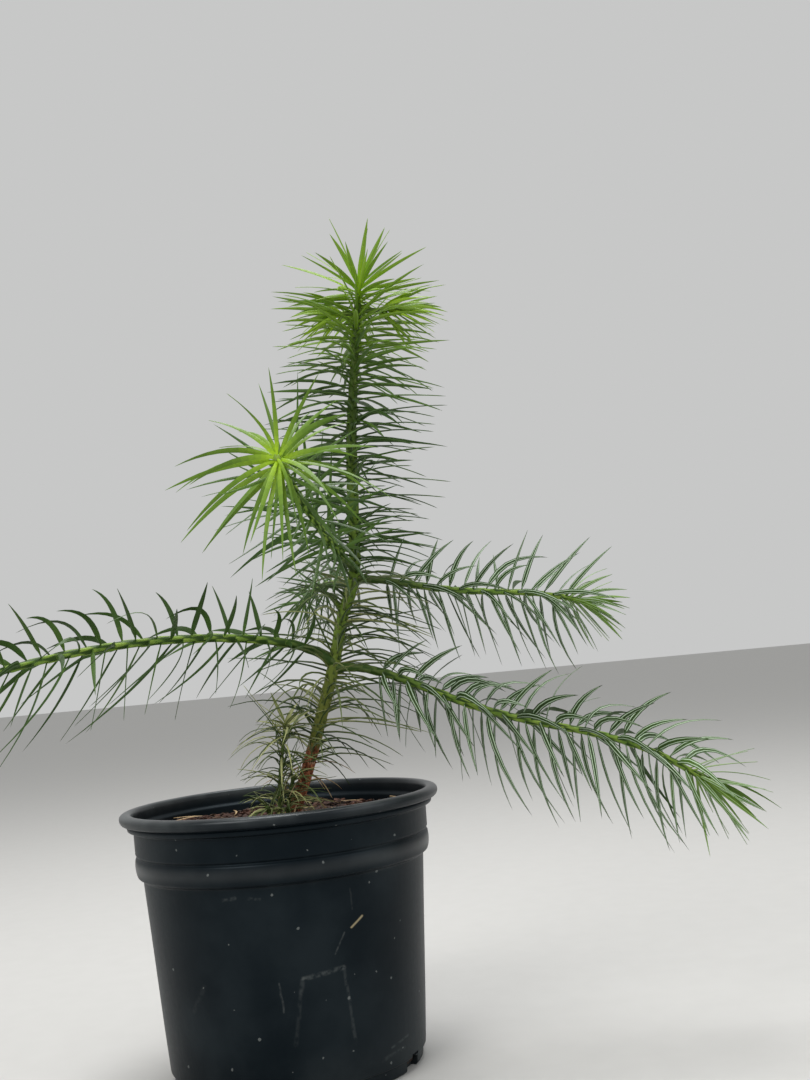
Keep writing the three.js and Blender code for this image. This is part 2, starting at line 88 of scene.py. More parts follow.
class Wire:
    """A socket of a node tree. Arithmetic on it adds the tree's math nodes."""

    __truediv__, __pow__, __abs__ = maths("DIVIDE"), maths("POWER"), maths("ABSOLUTE")
    __gt__, __lt__ = maths("GREATER_THAN"), maths("LESS_THAN")
    least, most = maths("MINIMUM"), maths("MAXIMUM")
    sine, cosine, floor = maths("SINE"), maths("COSINE"), maths("FLOOR")

    def __init__(self, graph, socket):
        self.graph = graph
        self.socket = socket

    def output(self, name):
        return Wire(self.graph, self.socket.node.outputs[name])

    def math(self, operation, *values):
        return self.graph.add("ShaderNodeMath", enumerate((self, *values)), operation=operation)

    def vector(self, operation, *values, result="Vector"):
        values = enumerate((self, *values))
        return self.graph.add("ShaderNodeVectorMath", values, result, operation=operation)

    def join(self, operation, a, b):
        """One node for two numbers, or for two values of which at least one is a vector."""
        kind, values = "ShaderNodeVectorMath", {0: a, 1: b}
        if not is_vector(a) and not is_vector(b):
            kind = "ShaderNodeMath"
        elif operation == "MULTIPLY" and is_vector(a) != is_vector(b):
            arrow, size = (a, b) if is_vector(a) else (b, a)
            operation, values = "SCALE", {0: arrow, "Scale": size}
        return self.graph.add(kind, values, operation=operation)

    def __add__(self, other):
        return self.join("ADD", self, other)

    def __sub__(self, other):
        return self.join("SUBTRACT", self, other)

    def __rsub__(self, other):
        return self.join("SUBTRACT", other, self)

    def __mul__(self, other):
        return self.join("MULTIPLY", self, other)

    __radd__, __rmul__ = __add__, __mul__

    def __neg__(self):
        return self * -1

    def wrapped(self):
        """An angle brought to between minus half a turn and half a turn."""
        return (self + math.pi).math("FLOORED_MODULO", FULL_TURN) - math.pi

    def dot(self, other):
        return self.vector("DOT_PRODUCT", other, result="Value")

    def cross(self, other):
        return self.vector("CROSS_PRODUCT", other)

    def unit(self):
        return self.vector("NORMALIZE")

    def across(self, direction):
        """The part of this vector that is square to a direction, at unit length."""
        return (self - direction * self.dot(direction)).unit()

    def part(self, axis):
        return self.graph.add("ShaderNodeSeparateXYZ", {0: self}, axis)

    def ease(self, low, high, to_low=0.0, to_high=1.0):
        """A smooth step from one value at low to another at high."""
        values = enumerate((self, low, high, to_low, to_high))
        return self.graph.add("ShaderNodeMapRange", values, interpolation_type="SMOOTHSTEP")


class Graph:
    """A node tree that expressions and single nodes are added to."""

    def __init__(self, tree):
        self.tree = tree

    def add(self, kind, values=(), result=0, **settings):
        """Adds a node: its settings first, then the value or link of each socket."""
        node = self.tree.nodes.new(kind)
        for name, value in settings.items():
            setattr(node, name, value)
        for key, value in dict(values).items():
            if isinstance(value, Wire):
                self.tree.links.new(value.socket, node.inputs[key])
            else:
                node.inputs[key].default_value = value
        return Wire(self, node.outputs[result]) if node.outputs else None

    def noise(self, place, scale, detail):
        return self.add("ShaderNodeTexNoise", {"Vector": place, "Scale": scale, "Detail": detail})

    def cells(self, place, scale, feature="F1"):
        return self.add("ShaderNodeTexVoronoi", {"Vector": place, "Scale": scale}, feature=feature)

    def vector(self, x, y, z):
        return self.add("ShaderNodeCombineXYZ", enumerate((x, y, z)))

    def named(self, name, kind="FLOAT"):
        return self.add("GeometryNodeInputNamedAttribute", {0: name}, data_type=kind)

    def store(self, geometry, name, value):
        kind = "FLOAT_VECTOR" if is_vector(value) else "FLOAT"
        values = {0: geometry, 2: name, 3: value}
        return self.add("GeometryNodeStoreNamedAttribute", values, data_type=kind, domain="POINT")

    def chance(self, low, high, seed):
        return self.add("FunctionNodeRandomValue", {2: low, 3: high, 8: seed}, 1, data_type="FLOAT")

    def moved(self, geometry, **place):
        return self.add("GeometryNodeSetPosition", {"Geometry": geometry, **place})

    def paint(self, geometry, material, where=True):
        return self.add("GeometryNodeSetMaterial", enumerate((geometry, where, material)))


def outwards(near, along, turn):
    """The direction square to a stem at a turn round it, counted from near."""
    first = near.across(along)
    return first * turn.cosine() + along.cross(first) * turn.sine()


def new_tree(name, **labels):
    """A geometry tree with its named inputs, given as the labels of each kind."""
    tree = bpy.data.node_groups.new(name, "GeometryNodeTree")
    tree.interface.new_socket("Geometry", in_out="INPUT", socket_type="NodeSocketGeometry")
    for kind, line in labels.items():
        for label in line.split(", "):
            tree.interface.new_socket(label, in_out="INPUT", socket_type="NodeSocket" + kind)
    tree.interface.new_socket("Geometry", in_out="OUTPUT", socket_type="NodeSocketGeometry")
    graph = Graph(tree)
    node = tree.nodes.new("NodeGroupInput")
    return graph, {socket.name: Wire(graph, socket) for socket in node.outputs if socket.name}


# Meshes and finished pieces


def object_of(name, mesh):
    item = bpy.data.objects.new(name, mesh)
    bpy.context.scene.collection.objects.link(item)
    return item


def mesh_of(name, points, faces=(), edges=()):
    mesh = bpy.data.meshes.new(name)
    mesh.from_pydata([tuple(p) for p in points], edges, faces)
    mesh.update()
    return mesh


def set_smooth(mesh):
    mesh.polygons.foreach_set("use_smooth", [True] * len(mesh.polygons))


def circle(radius, sides, height_at):
    """Points round the axis, at a height for each angle."""
    angles = [FULL_TURN * i / sides for i in range(sides)]
    return [(radius * math.cos(a), radius * math.sin(a), height_at(a)) for a in angles]


def ring_faces(rings, sides):
    """The faces between rings of points that follow each other."""
    pairs = [(i, (i + 1) % sides) for i in range(sides)]
    lows = range(0, (rings - 1) * sides, sides)
    return [(low + i, low + j, low + sides + j, low + sides + i) for low in lows for i, j in pairs]


def turned_solid(name, bottom, rings, top):
    """A smooth closed solid from circles of points, with its lowest and highest point on the axis."""
    points = [(0, 0, bottom), *(p for ring in rings for p in ring), (0, 0, top)]
    sides = len(rings[0])
    last_ring = len(points) - 1 - sides
    faces = []
    for i in range(sides):
        j = (i + 1) % sides
        faces.append((0, 1 + j, 1 + i))
        lows = range(1, last_ring, sides)
        faces += [(low + i, low + j, low + sides + j, low + sides + i) for low in lows]
        faces.append((last_ring + i, last_ring + j, len(points) - 1))
    mesh = mesh_of(name, points, faces)
    set_smooth(mesh)
    return mesh


def grown(base, graph, **sizes):
    """The plain mesh that a tree makes of a base, which is used up, with the tree's inputs set by name."""
    tree = graph.tree
    sizes = {label.replace("_", " "): size for label, size in sizes.items()}
    modifier = base.modifiers.new(tree.name, "NODES")
    modifier.node_group = tree
    for item in tree.interface.items_tree:
        if item.in_out == "INPUT" and item.name in sizes:
            modifier[item.identifier] = sizes[item.name]
    mesh = evaluated_mesh(base)
    base.modifiers.remove(modifier)
    bpy.data.objects.remove(base)
    return mesh


def evaluated_mesh(item):
    return bpy.data.meshes.new_from_object(item.evaluated_get(bpy.context.evaluated_depsgraph_get()))


def finished(name, mesh, keep=()):
    """A piece in metres, without the attributes that only shaped it."""
    kept = {"sharp_edge", "sharp_face", "material_index", *keep}
    for label in [a.name for a in mesh.attributes if not a.is_internal and not a.is_required]:
        if label not in kept:
            mesh.attributes.remove(mesh.attributes[label])
    mesh.transform(Matrix.Scale(METRES, 4))
    mesh.update()
    mesh.name = name
    return object_of(name, mesh)


# Finishes


def finish_of(name, vary, **constants):
    """A material whose constants sit on the shader's own sockets, and whose varying values come from vary."""
    material = bpy.data.materials.new(name)
    material.use_nodes = True
    tree = material.node_tree
    shader = tree.nodes["Principled BSDF"]
    for label, value in constants.items():
        shader.inputs[label.replace("_", " ")].default_value = value
    graph = Graph(tree)
    place = graph.add("ShaderNodeTexCoord", result="Object")
    for label, wire in vary(graph, place).items():
        tree.links.new(wire.socket, shader.inputs[label])
    return material


def relief_of(graph):
    """How far a place stands up from the limb, from 0 in the lines between leaf bases to 1."""
    return graph.add("ShaderNodeAttribute", result="Fac", attribute_name="relief")


def mixed(share, low, high):
    """A colour between two others, by a share from 0 to 1."""
    low, high = (shade if isinstance(shade, Wire) else colour(*shade) for shade in (low, high))
    return share.graph.add("ShaderNodeMix", {0: share, 6: low, 7: high}, 2, data_type="RGBA")


def bumped(height, distance, strength):
    return height.graph.add("ShaderNodeBump", {"Strength": strength, "Distance": distance, "Height": height})


def colour(red, green, blue):
    return (red, green, blue, 1.0)


# Where the pot's finish changes, by height: the middle of each groove and half its width, the dusty foot, the
# rim lightened by dust and painted highlight, and the lower and upper edge of the band with a shiny coat and
# painted highlight
GROOVES = [(0.1015, 0.0016), (0.113, 0.001)]
DUSTY_FOOT, RIM_DUST_AND_HIGHLIGHT = (0.028, 0.0), (0.1285, 0.1345)
BAND_FOOT, BAND_TOP = (0.103, 0.108), (0.1125, 0.109)


def pot_plastic(graph, place):
    """Dark blue-black satin plastic, faintly clouded, with dust specks, a rim lightened by dust and painted
    highlight, painted highlight on the band, and a scuffed front.
    """
    x, y, z = (place.part(axis) for axis in "XYZ")
    cloud = graph.noise(place, 22, 4)
    fine = graph.noise(place, 420, 3)
    streaks = graph.noise(place * (1.0, 1.0, 0.12), 260, 2)
    lower_groove, upper_groove = (1 - (abs(z - middle) / half).least(1) for middle, half in GROOVES)
    # The rim is lightened by dust and by a painted highlight.
    rim = z.ease(*RIM_DUST_AND_HIGHLIGHT)
    # The band gets a shiny coat, and a painted highlight in its colour.
    band = z.ease(*BAND_FOOT) * z.ease(*BAND_TOP)
    dust_and_highlight = lower_groove.most(upper_groove) * 0.05 + z.ease(*DUSTY_FOOT) * 0.07
    # Dust pales the grooves, the foot and the rim; painted highlight pales the rim and the band as well.
    dust_and_highlight = (dust_and_highlight + rim * 0.24 + band * 0.06 + 0.025) * cloud.ease(0.36, 0.7)
    cells = graph.cells(place + (fine - 0.5) * 0.0014, 280)
    grit = cells.output("Color").part("X") + z.ease(0.085, 0.02, 0.0, 0.035)
    size = (grit + graph.noise(place, 45, 2) * 0.08).ease(0.9, 1.08, 0.0, 0.24)
    front = y < 0
    scuffs = worn_lines(graph, SCUFFS, x, z) * front * fine.ease(0.3, 0.62)
    fleck = worn_lines(graph, FLECKS, x, z) * front
    # The pale share: dust, specks, scuffs, and the painted highlight on the rim and band.
    wear_dust_and_highlight = (dust_and_highlight + (cells < size) * 0.5 + scuffs).least(1)
    base = mixed(cloud.ease(0.35, 0.68), (0.0016, 0.0036, 0.0054), (0.0042, 0.0078, 0.0106))
    base = mixed(wear_dust_and_highlight, base, (0.2, 0.215, 0.21))
    return {
        "Base Color": mixed(fleck, base, (0.36, 0.3, 0.18)),
        "Roughness": 0.3 + 0.1 * fine + 0.14 * cloud + 0.3 * wear_dust_and_highlight,
        "Coat Weight": band * 0.45 + rim * 0.5,
        "Normal": bumped(fine * 0.35 + streaks * 0.65 + scuffs * 0.6, 0.00012, 0.5),
    }


# Scuffs on the pot's front: each runs between two places given by x and height, with its width and strength
SCUFFS = [
    (-0.0015, 0.0282, 0.0028, 0.0520, 0.0011, 0.06),
    (0.0028, 0.0520, 0.0041, 0.0578, 0.0013, 0.1),
    (0.0041, 0.0578, 0.0235, 0.0601, 0.0012, 0.19),
    (0.0235, 0.0601, 0.0264, 0.0241, 0.0009, 0.1),
    (0.0198, 0.0668, 0.0253, 0.0761, 0.0005, 0.18),
    (0.0294, 0.0959, 0.0297, 0.0860, 0.0005, 0.06),
    (-0.0071, 0.0567, -0.0058, 0.0438, 0.0006, 0.16),
    (-0.0480, 0.0440, -0.0420, 0.0560, 0.0012, 0.04),
    (0.0389, 0.0124, 0.0500, 0.0138, 0.0012, 0.08),
    (0.0440, 0.0165, 0.0525, 0.0185, 0.0007, 0.14),
    (-0.0300, 0.0965, -0.0240, 0.0975, 0.0009, 0.14),
    (-0.0180, 0.0970, -0.0130, 0.0960, 0.0008, 0.1),
]
FLECKS = [(0.0285, 0.0775, 0.0341, 0.0818, 0.0006, 0.8)]


def worn_lines(graph, marks, x, z):
    """How far a place on the front is covered by marks, from 0 to 1."""
    wander = (graph.noise(graph.vector(x, 0.0, z), 180, 2) - 0.5) * 0.0016
    covers = []
    for x0, z0, x1, z1, width, strength in marks:
        run = Vector((x1 - x0, z1 - z0))
        dx, dz = x - x0 + wander, z - z0 + wander
        share = (dx * (run.x / run.length_squared) + dz * (run.y / run.length_squared)).most(0).least(1)
        away_x, away_z = dx - share * run.x, dz - share * run.y
        away = (away_x * away_x + away_z * away_z) ** 0.5
        covers.append(away.ease(width * 1.3, width * 0.2, 0.0, strength))
    return sum(covers).least(1)


def bark_and_skin(graph, place):
    """Red-brown flaking bark at the foot, which gives way upwards to green skin between the leaf bases,
    darkened higher up as painted shade.
    """
    relief = relief_of(graph)
    height = place.part("Z")
    patches = graph.noise(place, 210, 4)
    fibres = graph.noise(place * (1.0, 1.0, 0.16), 900, 4)
    old = (height + (patches - 0.5) * 0.02).ease(0.162, 0.154)
    bark = mixed(fibres.ease(0.35, 0.65), (0.13, 0.038, 0.018), (0.52, 0.195, 0.095))
    bark = mixed(patches.ease(0.58, 0.7), bark, (0.42, 0.25, 0.16))
    bark = mixed(relief.ease(0.05, 0.6), (0.04, 0.014, 0.008), bark)
    valley = mixed(patches.ease(0.4, 0.6), (0.024, 0.048, 0.007), (0.055, 0.08, 0.014))
    ridge = mixed(height.ease(0.16, 0.24), (0.15, 0.165, 0.03), (0.115, 0.19, 0.02))
    # Painted shade: the skin darkens up the leader, where the crown's needles shade it.
    ridge = mixed(height.ease(0.27, 0.33), ridge, (0.052, 0.095, 0.009))
    skin = mixed(relief.ease(0.0, 0.45), valley, ridge)
    skin = mixed(patches.ease(0.6, 0.72) * 0.45, skin, (0.17, 0.24, 0.05))
    tan = patches.ease(0.5, 0.38) * height.ease(0.178, 0.154) * 0.7
    skin = mixed(tan, skin, (0.2, 0.12, 0.05))
    return {
        "Base Color": mixed(old, skin, bark),
        "Roughness": 0.52 + 0.3 * old + 0.1 * fibres,
        "Normal": bumped(fibres + patches, 0.00025, 0.6),
    }


# The trunk's foot by x and height, and how far the trunk leans to the right for its height
TRUNK_FOOT, TRUNK_LEAN = (0.005, 0.1228), 0.36


def green_skin(graph, place):
    """Yellow-green leaf bases with darker lines between them, duller near the trunk."""
    foot_x, foot_z = TRUNK_FOOT
    from_trunk = abs(place.part("X") - foot_x - (place.part("Z") - foot_z) * TRUNK_LEAN)
    near = (from_trunk + abs(place.part("Y"))).ease(0.075, 0.02)
    patches = graph.noise(place, 160, 3)
    fibres = graph.noise(place, 1300, 3)
    ridge = mixed(patches.ease(0.35, 0.65), (0.13, 0.235, 0.028), (0.25, 0.37, 0.055))
    ridge = mixed(near, ridge, (0.07, 0.11, 0.024))
    return {
        "Base Color": mixed(relief_of(graph).ease(0.0, 0.45), (0.03, 0.07, 0.008), ridge),
        "Roughness": 0.46 + 0.16 * fibres,
        "Normal": bumped(fibres, 0.00012, 0.5),
    }


def leaf_shine(graph, place):
    """Colour is plain on needles, and only their shine varies."""
    return {"Roughness": 0.36 + 0.2 * graph.noise(place, 240, 2)}


def dry_grain(name, dark, light):
    """Dull dry bark or straw, in uneven grain and patches between two colours."""
    def vary(graph, place):
        grain = graph.noise(place, 520, 4)
        shade = (grain * 0.6 + graph.noise(place, 90, 2) * 0.4).ease(0.35, 0.65)
        return {
            "Base Color": mixed(shade, dark, light),
            "Roughness": 0.78 + 0.2 * grain,
            "Normal": bumped(grain, 0.0005, 0.7),
        }

    return finish_of(name, vary)


def floor_plaster(graph, place):
    grain = graph.noise(place, 60, 4)
    shade = mixed(grain, (0.51, 0.505, 0.49), (0.55, 0.545, 0.53))
    return {"Base Color": shade, "Roughness": 0.7 + 0.1 * grain}


def needle_green(name, *shade):
    return finish_of(name, leaf_shine, Base_Color=colour(*shade), Specular_IOR_Level=0.22)


PLASTIC = finish_of(
    "dark satin pot plastic", pot_plastic, Specular_IOR_Level=0.14, Specular_Tint=colour(0.66, 0.86, 1.0),
    Coat_Roughness=0.3,
)
TRUNK_SKIN = finish_of("flaking bark and olive skin", bark_and_skin, Specular_IOR_Level=0.2)
GREEN_SKIN = finish_of("green leaf bases", green_skin, Specular_IOR_Level=0.25)
CHIP_DARK = dry_grain("dark bark chips", (0.012, 0.006, 0.004), (0.05, 0.02, 0.011))
CHIP_RED = dry_grain("red bark chips", (0.026, 0.01, 0.006), (0.095, 0.036, 0.02))
CHIP_PALE = dry_grain("weathered bark chips", (0.07, 0.042, 0.026), (0.2, 0.125, 0.075))
STRAW = dry_grain("dry needles", (0.22, 0.14, 0.07), (0.46, 0.33, 0.18))
FLOOR = finish_of("pale plaster floor", floor_plaster)

# Plain greens of the needles, from the oldest to the youngest, with two shades between each two
GREEN_STEPS = [(0.023, 0.051, 0.009), (0.035, 0.079, 0.012), (0.073, 0.146, 0.018), (0.130, 0.238, 0.024),
               (0.225, 0.372, 0.028), (0.345, 0.545, 0.016)]
OLD_STEPS = [(0.034, 0.060, 0.017), (0.056, 0.090, 0.027), (0.102, 0.135, 0.044), (0.19, 0.215, 0.075),
             (0.34, 0.355, 0.15)]
SHADES = 3
GREEN_COUNT = SHADES * (len(GREEN_STEPS) - 1) + 1


def green_at(place):
    k = min(int(place), len(GREEN_STEPS) - 2)
    return [mix(a, b, place - k) for a, b in zip(GREEN_STEPS[k], GREEN_STEPS[k + 1])]


def greens(finishes):
    """The needles' shades as inputs of their tree, from the oldest."""
    return {"Green_%d" % k: finish for k, finish in enumerate(finishes)}


GREENS = greens(needle_green("needle green %d" % (k + 1), *green_at(k / SHADES)) for k in range(GREEN_COUNT))
OLD_FINISHES = [needle_green("old needle green %d" % (k + 1), *step) for k, step in enumerate(OLD_STEPS)]
OLD_GREENS = greens(OLD_FINISHES[min(k * 2 // SHADES, len(OLD_STEPS) - 1)] for k in range(GREEN_COUNT))
DRY_GREENS = greens([STRAW] * GREEN_COUNT)
PALE_BANDS = {
    "Band": needle_green("pale bands under needles", 0.43, 0.55, 0.39),
    "Young_Band": needle_green("pale bands under young needles", 0.36, 0.52, 0.22),
}
CROWN_BANDS = {
    "Band": needle_green("dull bands under crown needles", 0.09, 0.155, 0.055),
    "Young_Band": needle_green("light bands under crown needles", 0.24, 0.38, 0.07),
}


# The pot

POT_SIDES = 160
FILLET_STEPS = 4
CRISP_ANGLE = math.radians(50)  # faces that meet at more than this keep a crisp edge
# Drain notches through the foot: how many, how far out, their size outwards, across and up, and their corners
NOTCHES = 6
NOTCH_PLACE = (66.2, 0, 0)
NOTCH_SIZE = (14, 13, 16)
NOTCH_FILLET = 3
# radius, height and fillet of each corner, from the underside round the rim to the inside's floor
POT_OUTLINE = [
    (0, 0, 0), (62.4, 0, 0.6), (63.2, 1, 0.6), (63.4, 5.9, 0.3), (65, 6.5, 0.5), (66.6, 26, 0),
    (68.35, 50, 0), (70.1, 74, 0), (71.4, 91, 0), (72.2, 101.4, 0.8), (74.7, 102.7, 0.9), (75.45, 105.2, 1.5),
    (75.8, 108.6, 2), (75.45, 111.9, 0.6), (74.35, 113, 0.5), (75.4, 114.1, 0.6), (75.6, 125.4, 0.5),
    (78.5, 126.3, 0.5), (78.9, 127.9, 0.5), (78.3, 129, 0.3), (81.4, 129.5, 1.2), (82.5, 131.6, 1.4),
    (82.1, 133.9, 1.5), (79.4, 135, 1.8), (76.7, 134.6, 1.2), (76.05, 132.8, 1), (75.9, 127.6, 0.5),
    (74, 126.2, 0.6), (73.4, 105, 1), (70.6, 102, 1), (61.4, 7, 1), (61, 2, 1.5), (0, 2, 0),
]


def rounded(corners):
    """An outline with each corner that has a fillet replaced by a short curve."""
    line = []
    for k, (r, z, fillet) in enumerate(corners):
        corner = Vector((r, z))
        if fillet == 0:
            line.append(corner)
            continue
        before, after = (Vector(corners[j][:2]) - corner for j in (k - 1, k + 1))
        start = corner + before.normalized() * min(fillet, before.length * 0.45)
        end = corner + after.normalized() * min(fillet, after.length * 0.45)
        for i in range(FILLET_STEPS + 1):
            t = i / FILLET_STEPS
            line.append(start * (1 - t) ** 2 + corner * (2 * t * (1 - t)) + end * t**2)
    return line


def make_pot():
    bottom, *corners, top = rounded(POT_OUTLINE)
    rings = [circle(p.x, POT_SIDES, lambda a: p.y) for p in corners]
    pot = object_of("pot blank", turned_solid("pot blank", bottom.y, rings, top.y))
    cutter = drain_cutter()
    cut = pot.modifiers.new("drain notches", "BOOLEAN")
    cut.operation = "DIFFERENCE"
    cut.solver = "EXACT"
    cut.object = cutter
    notched = evaluated_mesh(pot)
    for item in (pot, cutter):
        bpy.data.objects.remove(item)
    set_smooth(notched)
    notched.set_sharp_from_angle(angle=CRISP_ANGLE)
    notched.materials.clear()
    notched.materials.append(PLASTIC)
    return finished("nursery_pot", notched)


def drain_cutter():
    """Six round-cornered blocks where the drain notches go through the foot."""
    shape = bmesh.new()
    for k in range(NOTCHES):
        turn = Matrix.Rotation((k + 0.5) * FULL_TURN / NOTCHES, 4, "Z")
        place = turn @ Matrix.Translation(NOTCH_PLACE) @ Matrix.Diagonal((*NOTCH_SIZE, 1))
        bmesh.ops.create_cube(shape, size=1, matrix=place)
    radial = []
    for edge in shape.edges:
        run = edge.verts[0].co - edge.verts[1].co
        if abs(run.z) < 0.1 and run.length > NOTCH_SIZE[0] - 0.5:
            radial.append(edge)
    bmesh.ops.bevel(shape, geom=radial, offset=NOTCH_FILLET, segments=3, affect="EDGES")
    mesh = bpy.data.meshes.new("drain cutter")
    shape.to_mesh(mesh)
    shape.free()
    return object_of("drain cutter", mesh)


# The potting mix: a bumpy body under loose bark chips

SOIL_TOP = 122.5
SOIL_BUMP = 1.6
SOIL_SINK = 0.4  # how far the body lies under the level of the chips
SOIL_SIDES = 96
SOIL_FLOOR = 2.3
# the body's wall inside the pot by radius and height, and the radii of the circles on its top
SOIL_WALL = [(60.5, SOIL_FLOOR), (61.1, 7), (70.25, 101.9), (72.9, 104.9), (73, 116)]
SOIL_RADII = [73.1, 70, 64, 57, 50, 43, 36, 29, 22, 14, 7]
CALM_RADIUS, WAVY_RADIUS = 18, 30  # the top is flat round the trunk and fully wavy further out
STREWN_SIDES = 48
STREWN_RADII = [71, 60, 48, 36, 24, 12, 4]
LITTER_TOP = SOIL_TOP + 1.4  # drooping needles come to rest here, on the chips
# Loose pieces by the chance that tints them: red chips begin at the first share and pale ones at the second
RED_FROM, PALE_FROM = 0.42, 0.93
PICKS = 97.0  # pieces are picked by numbers up to this, which start over after the last shape


def mix_height(r, a):
    wave = SOIL_BUMP * math.sin(3 * a + r * 0.11) * math.sin(2 * a - r * 0.07)
    return SOIL_TOP + wave * clamped((r - CALM_RADIUS) / (WAVY_RADIUS - CALM_RADIUS)) - SOIL_SINK


def make_mix():
    rings = [circle(r, SOIL_SIDES, lambda a: z) for r, z in SOIL_WALL]
    rings += [circle(r, SOIL_SIDES, lambda a: mix_height(r, a)) for r in SOIL_RADII]
    mesh = turned_solid("mix_body", SOIL_FLOOR, rings, mix_height(0, 0))
    mesh.materials.append(CHIP_DARK)
    return finished("mix_body", mesh)


def mix_surface():
    """The open top of the mix, which chips are strewn on."""
    points = []
    for r in STREWN_RADII:
        points += circle(r, STREWN_SIDES, lambda a: mix_height(r, a))
    middle = tuple(range(len(points) - STREWN_SIDES, len(points)))
    faces = [middle, *ring_faces(len(STREWN_RADII), STREWN_SIDES)]
    return object_of("mix surface", mesh_of("mix surface", points, faces))


def chip_shape(seed):
    """One splinter of bark: an uneven flat lump."""
    rng = random.Random(seed)
    length, width, depth = rng.uniform(4.5, 8), rng.uniform(2.6, 4.2), rng.uniform(1.1, 1.9)
    shape = bmesh.new()
    for _ in range(11):
        a, tilt = rng.uniform(0, FULL_TURN), rng.uniform(-1, 1)
        reach = (1 - 0.35 * tilt * tilt) * rng.uniform(0.8, 1.05)
        shape.verts.new((length / 2 * reach * math.cos(a), width / 2 * reach * math.sin(a), depth / 2 * tilt))
    bmesh.ops.convex_hull(shape, input=shape.verts)
    bmesh.ops.delete(shape, geom=[v for v in shape.verts if not v.link_faces], context="VERTS")
    mesh = bpy.data.meshes.new("chip")
    shape.to_mesh(mesh)
    shape.free()
    return mesh


def straw_shape(seed):
    """One dry fallen needle, bowed a little."""
    rng = random.Random(seed)
    length, bow = rng.uniform(20, 34), rng.uniform(-3, 3)
    half_widths = [(0, 0.35), (0.2, 0.8), (0.5, 0.95), (0.8, 0.6), (1, 0.12)]
    points = []
    for t, half in half_widths:
        x, y, z = length * (t - 0.5), bow * 4 * t * (1 - t), 0.8 * math.sin(3 * t)
        points += [(x, y + half, z), (x, y, z + 0.3), (x, y - half, z), (x, y, z - 0.2)]
    ends = [(3, 2, 1, 0), tuple(range(len(points) - 4, len(points)))]
    return mesh_of("straw", points, [*ends, *ring_faces(len(half_widths), 4)])


def strewing_tree():
    """Pieces of a collection strewn over a surface, lying nearly flat."""
    graph, given = new_tree(
        "Strewn pieces", Collection="Pieces", Float="Density, Smallest, Largest, Tilt, Lift", Int="Seed",
        Material="Dark, Middle, Pale",
    )
    seed = given["Seed"] * 10
    values = {"Mesh": given["Geometry"], "Density": given["Density"], "Seed": seed}
    points = graph.add("GeometryNodeDistributePointsOnFaces", values)
    lean, roll = (graph.chance(-given["Tilt"], given["Tilt"], seed + k) for k in (1, 2))
    euler = graph.vector(lean, roll, graph.chance(0.0, FULL_TURN, seed + 3))
    points = graph.moved(points, Offset=graph.vector(0.0, 0.0, graph.chance(-0.3, given["Lift"], seed + 4)))
    points = graph.store(points, "tint", graph.chance(0.0, 1.0, seed + 5))
    pieces = {"Collection": given["Pieces"], "Separate Children": True, "Reset Children": True}
    values = {
        "Points": points,
        "Instance": graph.add("GeometryNodeCollectionInfo", pieces),
        "Pick Instance": True,
        "Instance Index": graph.chance(0.0, PICKS, seed + 7).floor(),
        "Rotation": graph.add("FunctionNodeEulerToRotation", {0: euler}),
        "Scale": graph.chance(given["Smallest"], given["Largest"], seed + 6),
    }
    placed = graph.add("GeometryNodeInstanceOnPoints", values)
    real = graph.paint(graph.add("GeometryNodeRealizeInstances", {0: placed}), given["Dark"])
    real = graph.paint(real, given["Middle"], graph.named("tint") > RED_FROM)
    real = graph.paint(real, given["Pale"], graph.named("tint") > PALE_FROM)
    graph.add("NodeGroupOutput", {0: real})
    return graph


STREWING = strewing_tree()


def strew(name, shapes, **sizes):
    """Loose pieces of a few shapes, strewn over the open top of the mix."""
    collection = bpy.data.collections.new(name)
    bpy.context.scene.collection.children.link(collection)
    items = [bpy.data.objects.new("loose shape", shape) for shape in shapes]
    for item in items:
        collection.objects.link(item)
    mesh = grown(mix_surface(), STREWING, Pieces=collection, **sizes)
    for item in items:
        bpy.data.objects.remove(item)
    bpy.data.collections.remove(collection)
    return finished(name, mesh)


def make_chips():
    return strew(
        "bark_chips", [chip_shape(seed) for seed in range(6)], Density=0.13, Smallest=0.45, Largest=1.25,
        Tilt=0.42, Lift=1.6, Seed=3, Dark=CHIP_DARK, Middle=CHIP_RED, Pale=CHIP_PALE,
    )


def make_straw():
    return strew(
        "fallen_needles", [straw_shape(seed) for seed in range(3)], Density=0.0016, Smallest=0.6, Largest=1.0,
        Tilt=0.12, Lift=2.4, Seed=8, Dark=STRAW, Middle=STRAW, Pale=STRAW,
    )


# Stems

CURVE_STEPS = 16
PATH_STEP = 1.5


def smooth_line(corners):
    """A centripetal curve through corners, as many short runs."""
    corners = [Vector(c) for c in corners]
    ends = [2 * corners[0] - corners[1], *corners, 2 * corners[-1] - corners[-2]]
    line = []
    for p0, p1, p2, p3 in zip(ends, ends[1:], ends[2:], ends[3:]):
        d0, d1, d2 = ((b - a).length ** 0.5 for a, b in ((p0, p1), (p1, p2), (p2, p3)))
        m1 = ((p1 - p0) / d0 - (p2 - p0) / (d0 + d1) + (p2 - p1) / d1) * d1
        m2 = ((p2 - p1) / d1 - (p3 - p1) / (d1 + d2) + (p3 - p2) / d2) * d1
        for i in range(CURVE_STEPS):
            t = i / CURVE_STEPS
            square, cube = 3 * (p2 - p1) - 2 * m1 - m2, 2 * (p1 - p2) + m1 + m2
            line.append(p1 + m1 * t + square * t**2 + cube * t**3)
    return [*line, corners[-1]]


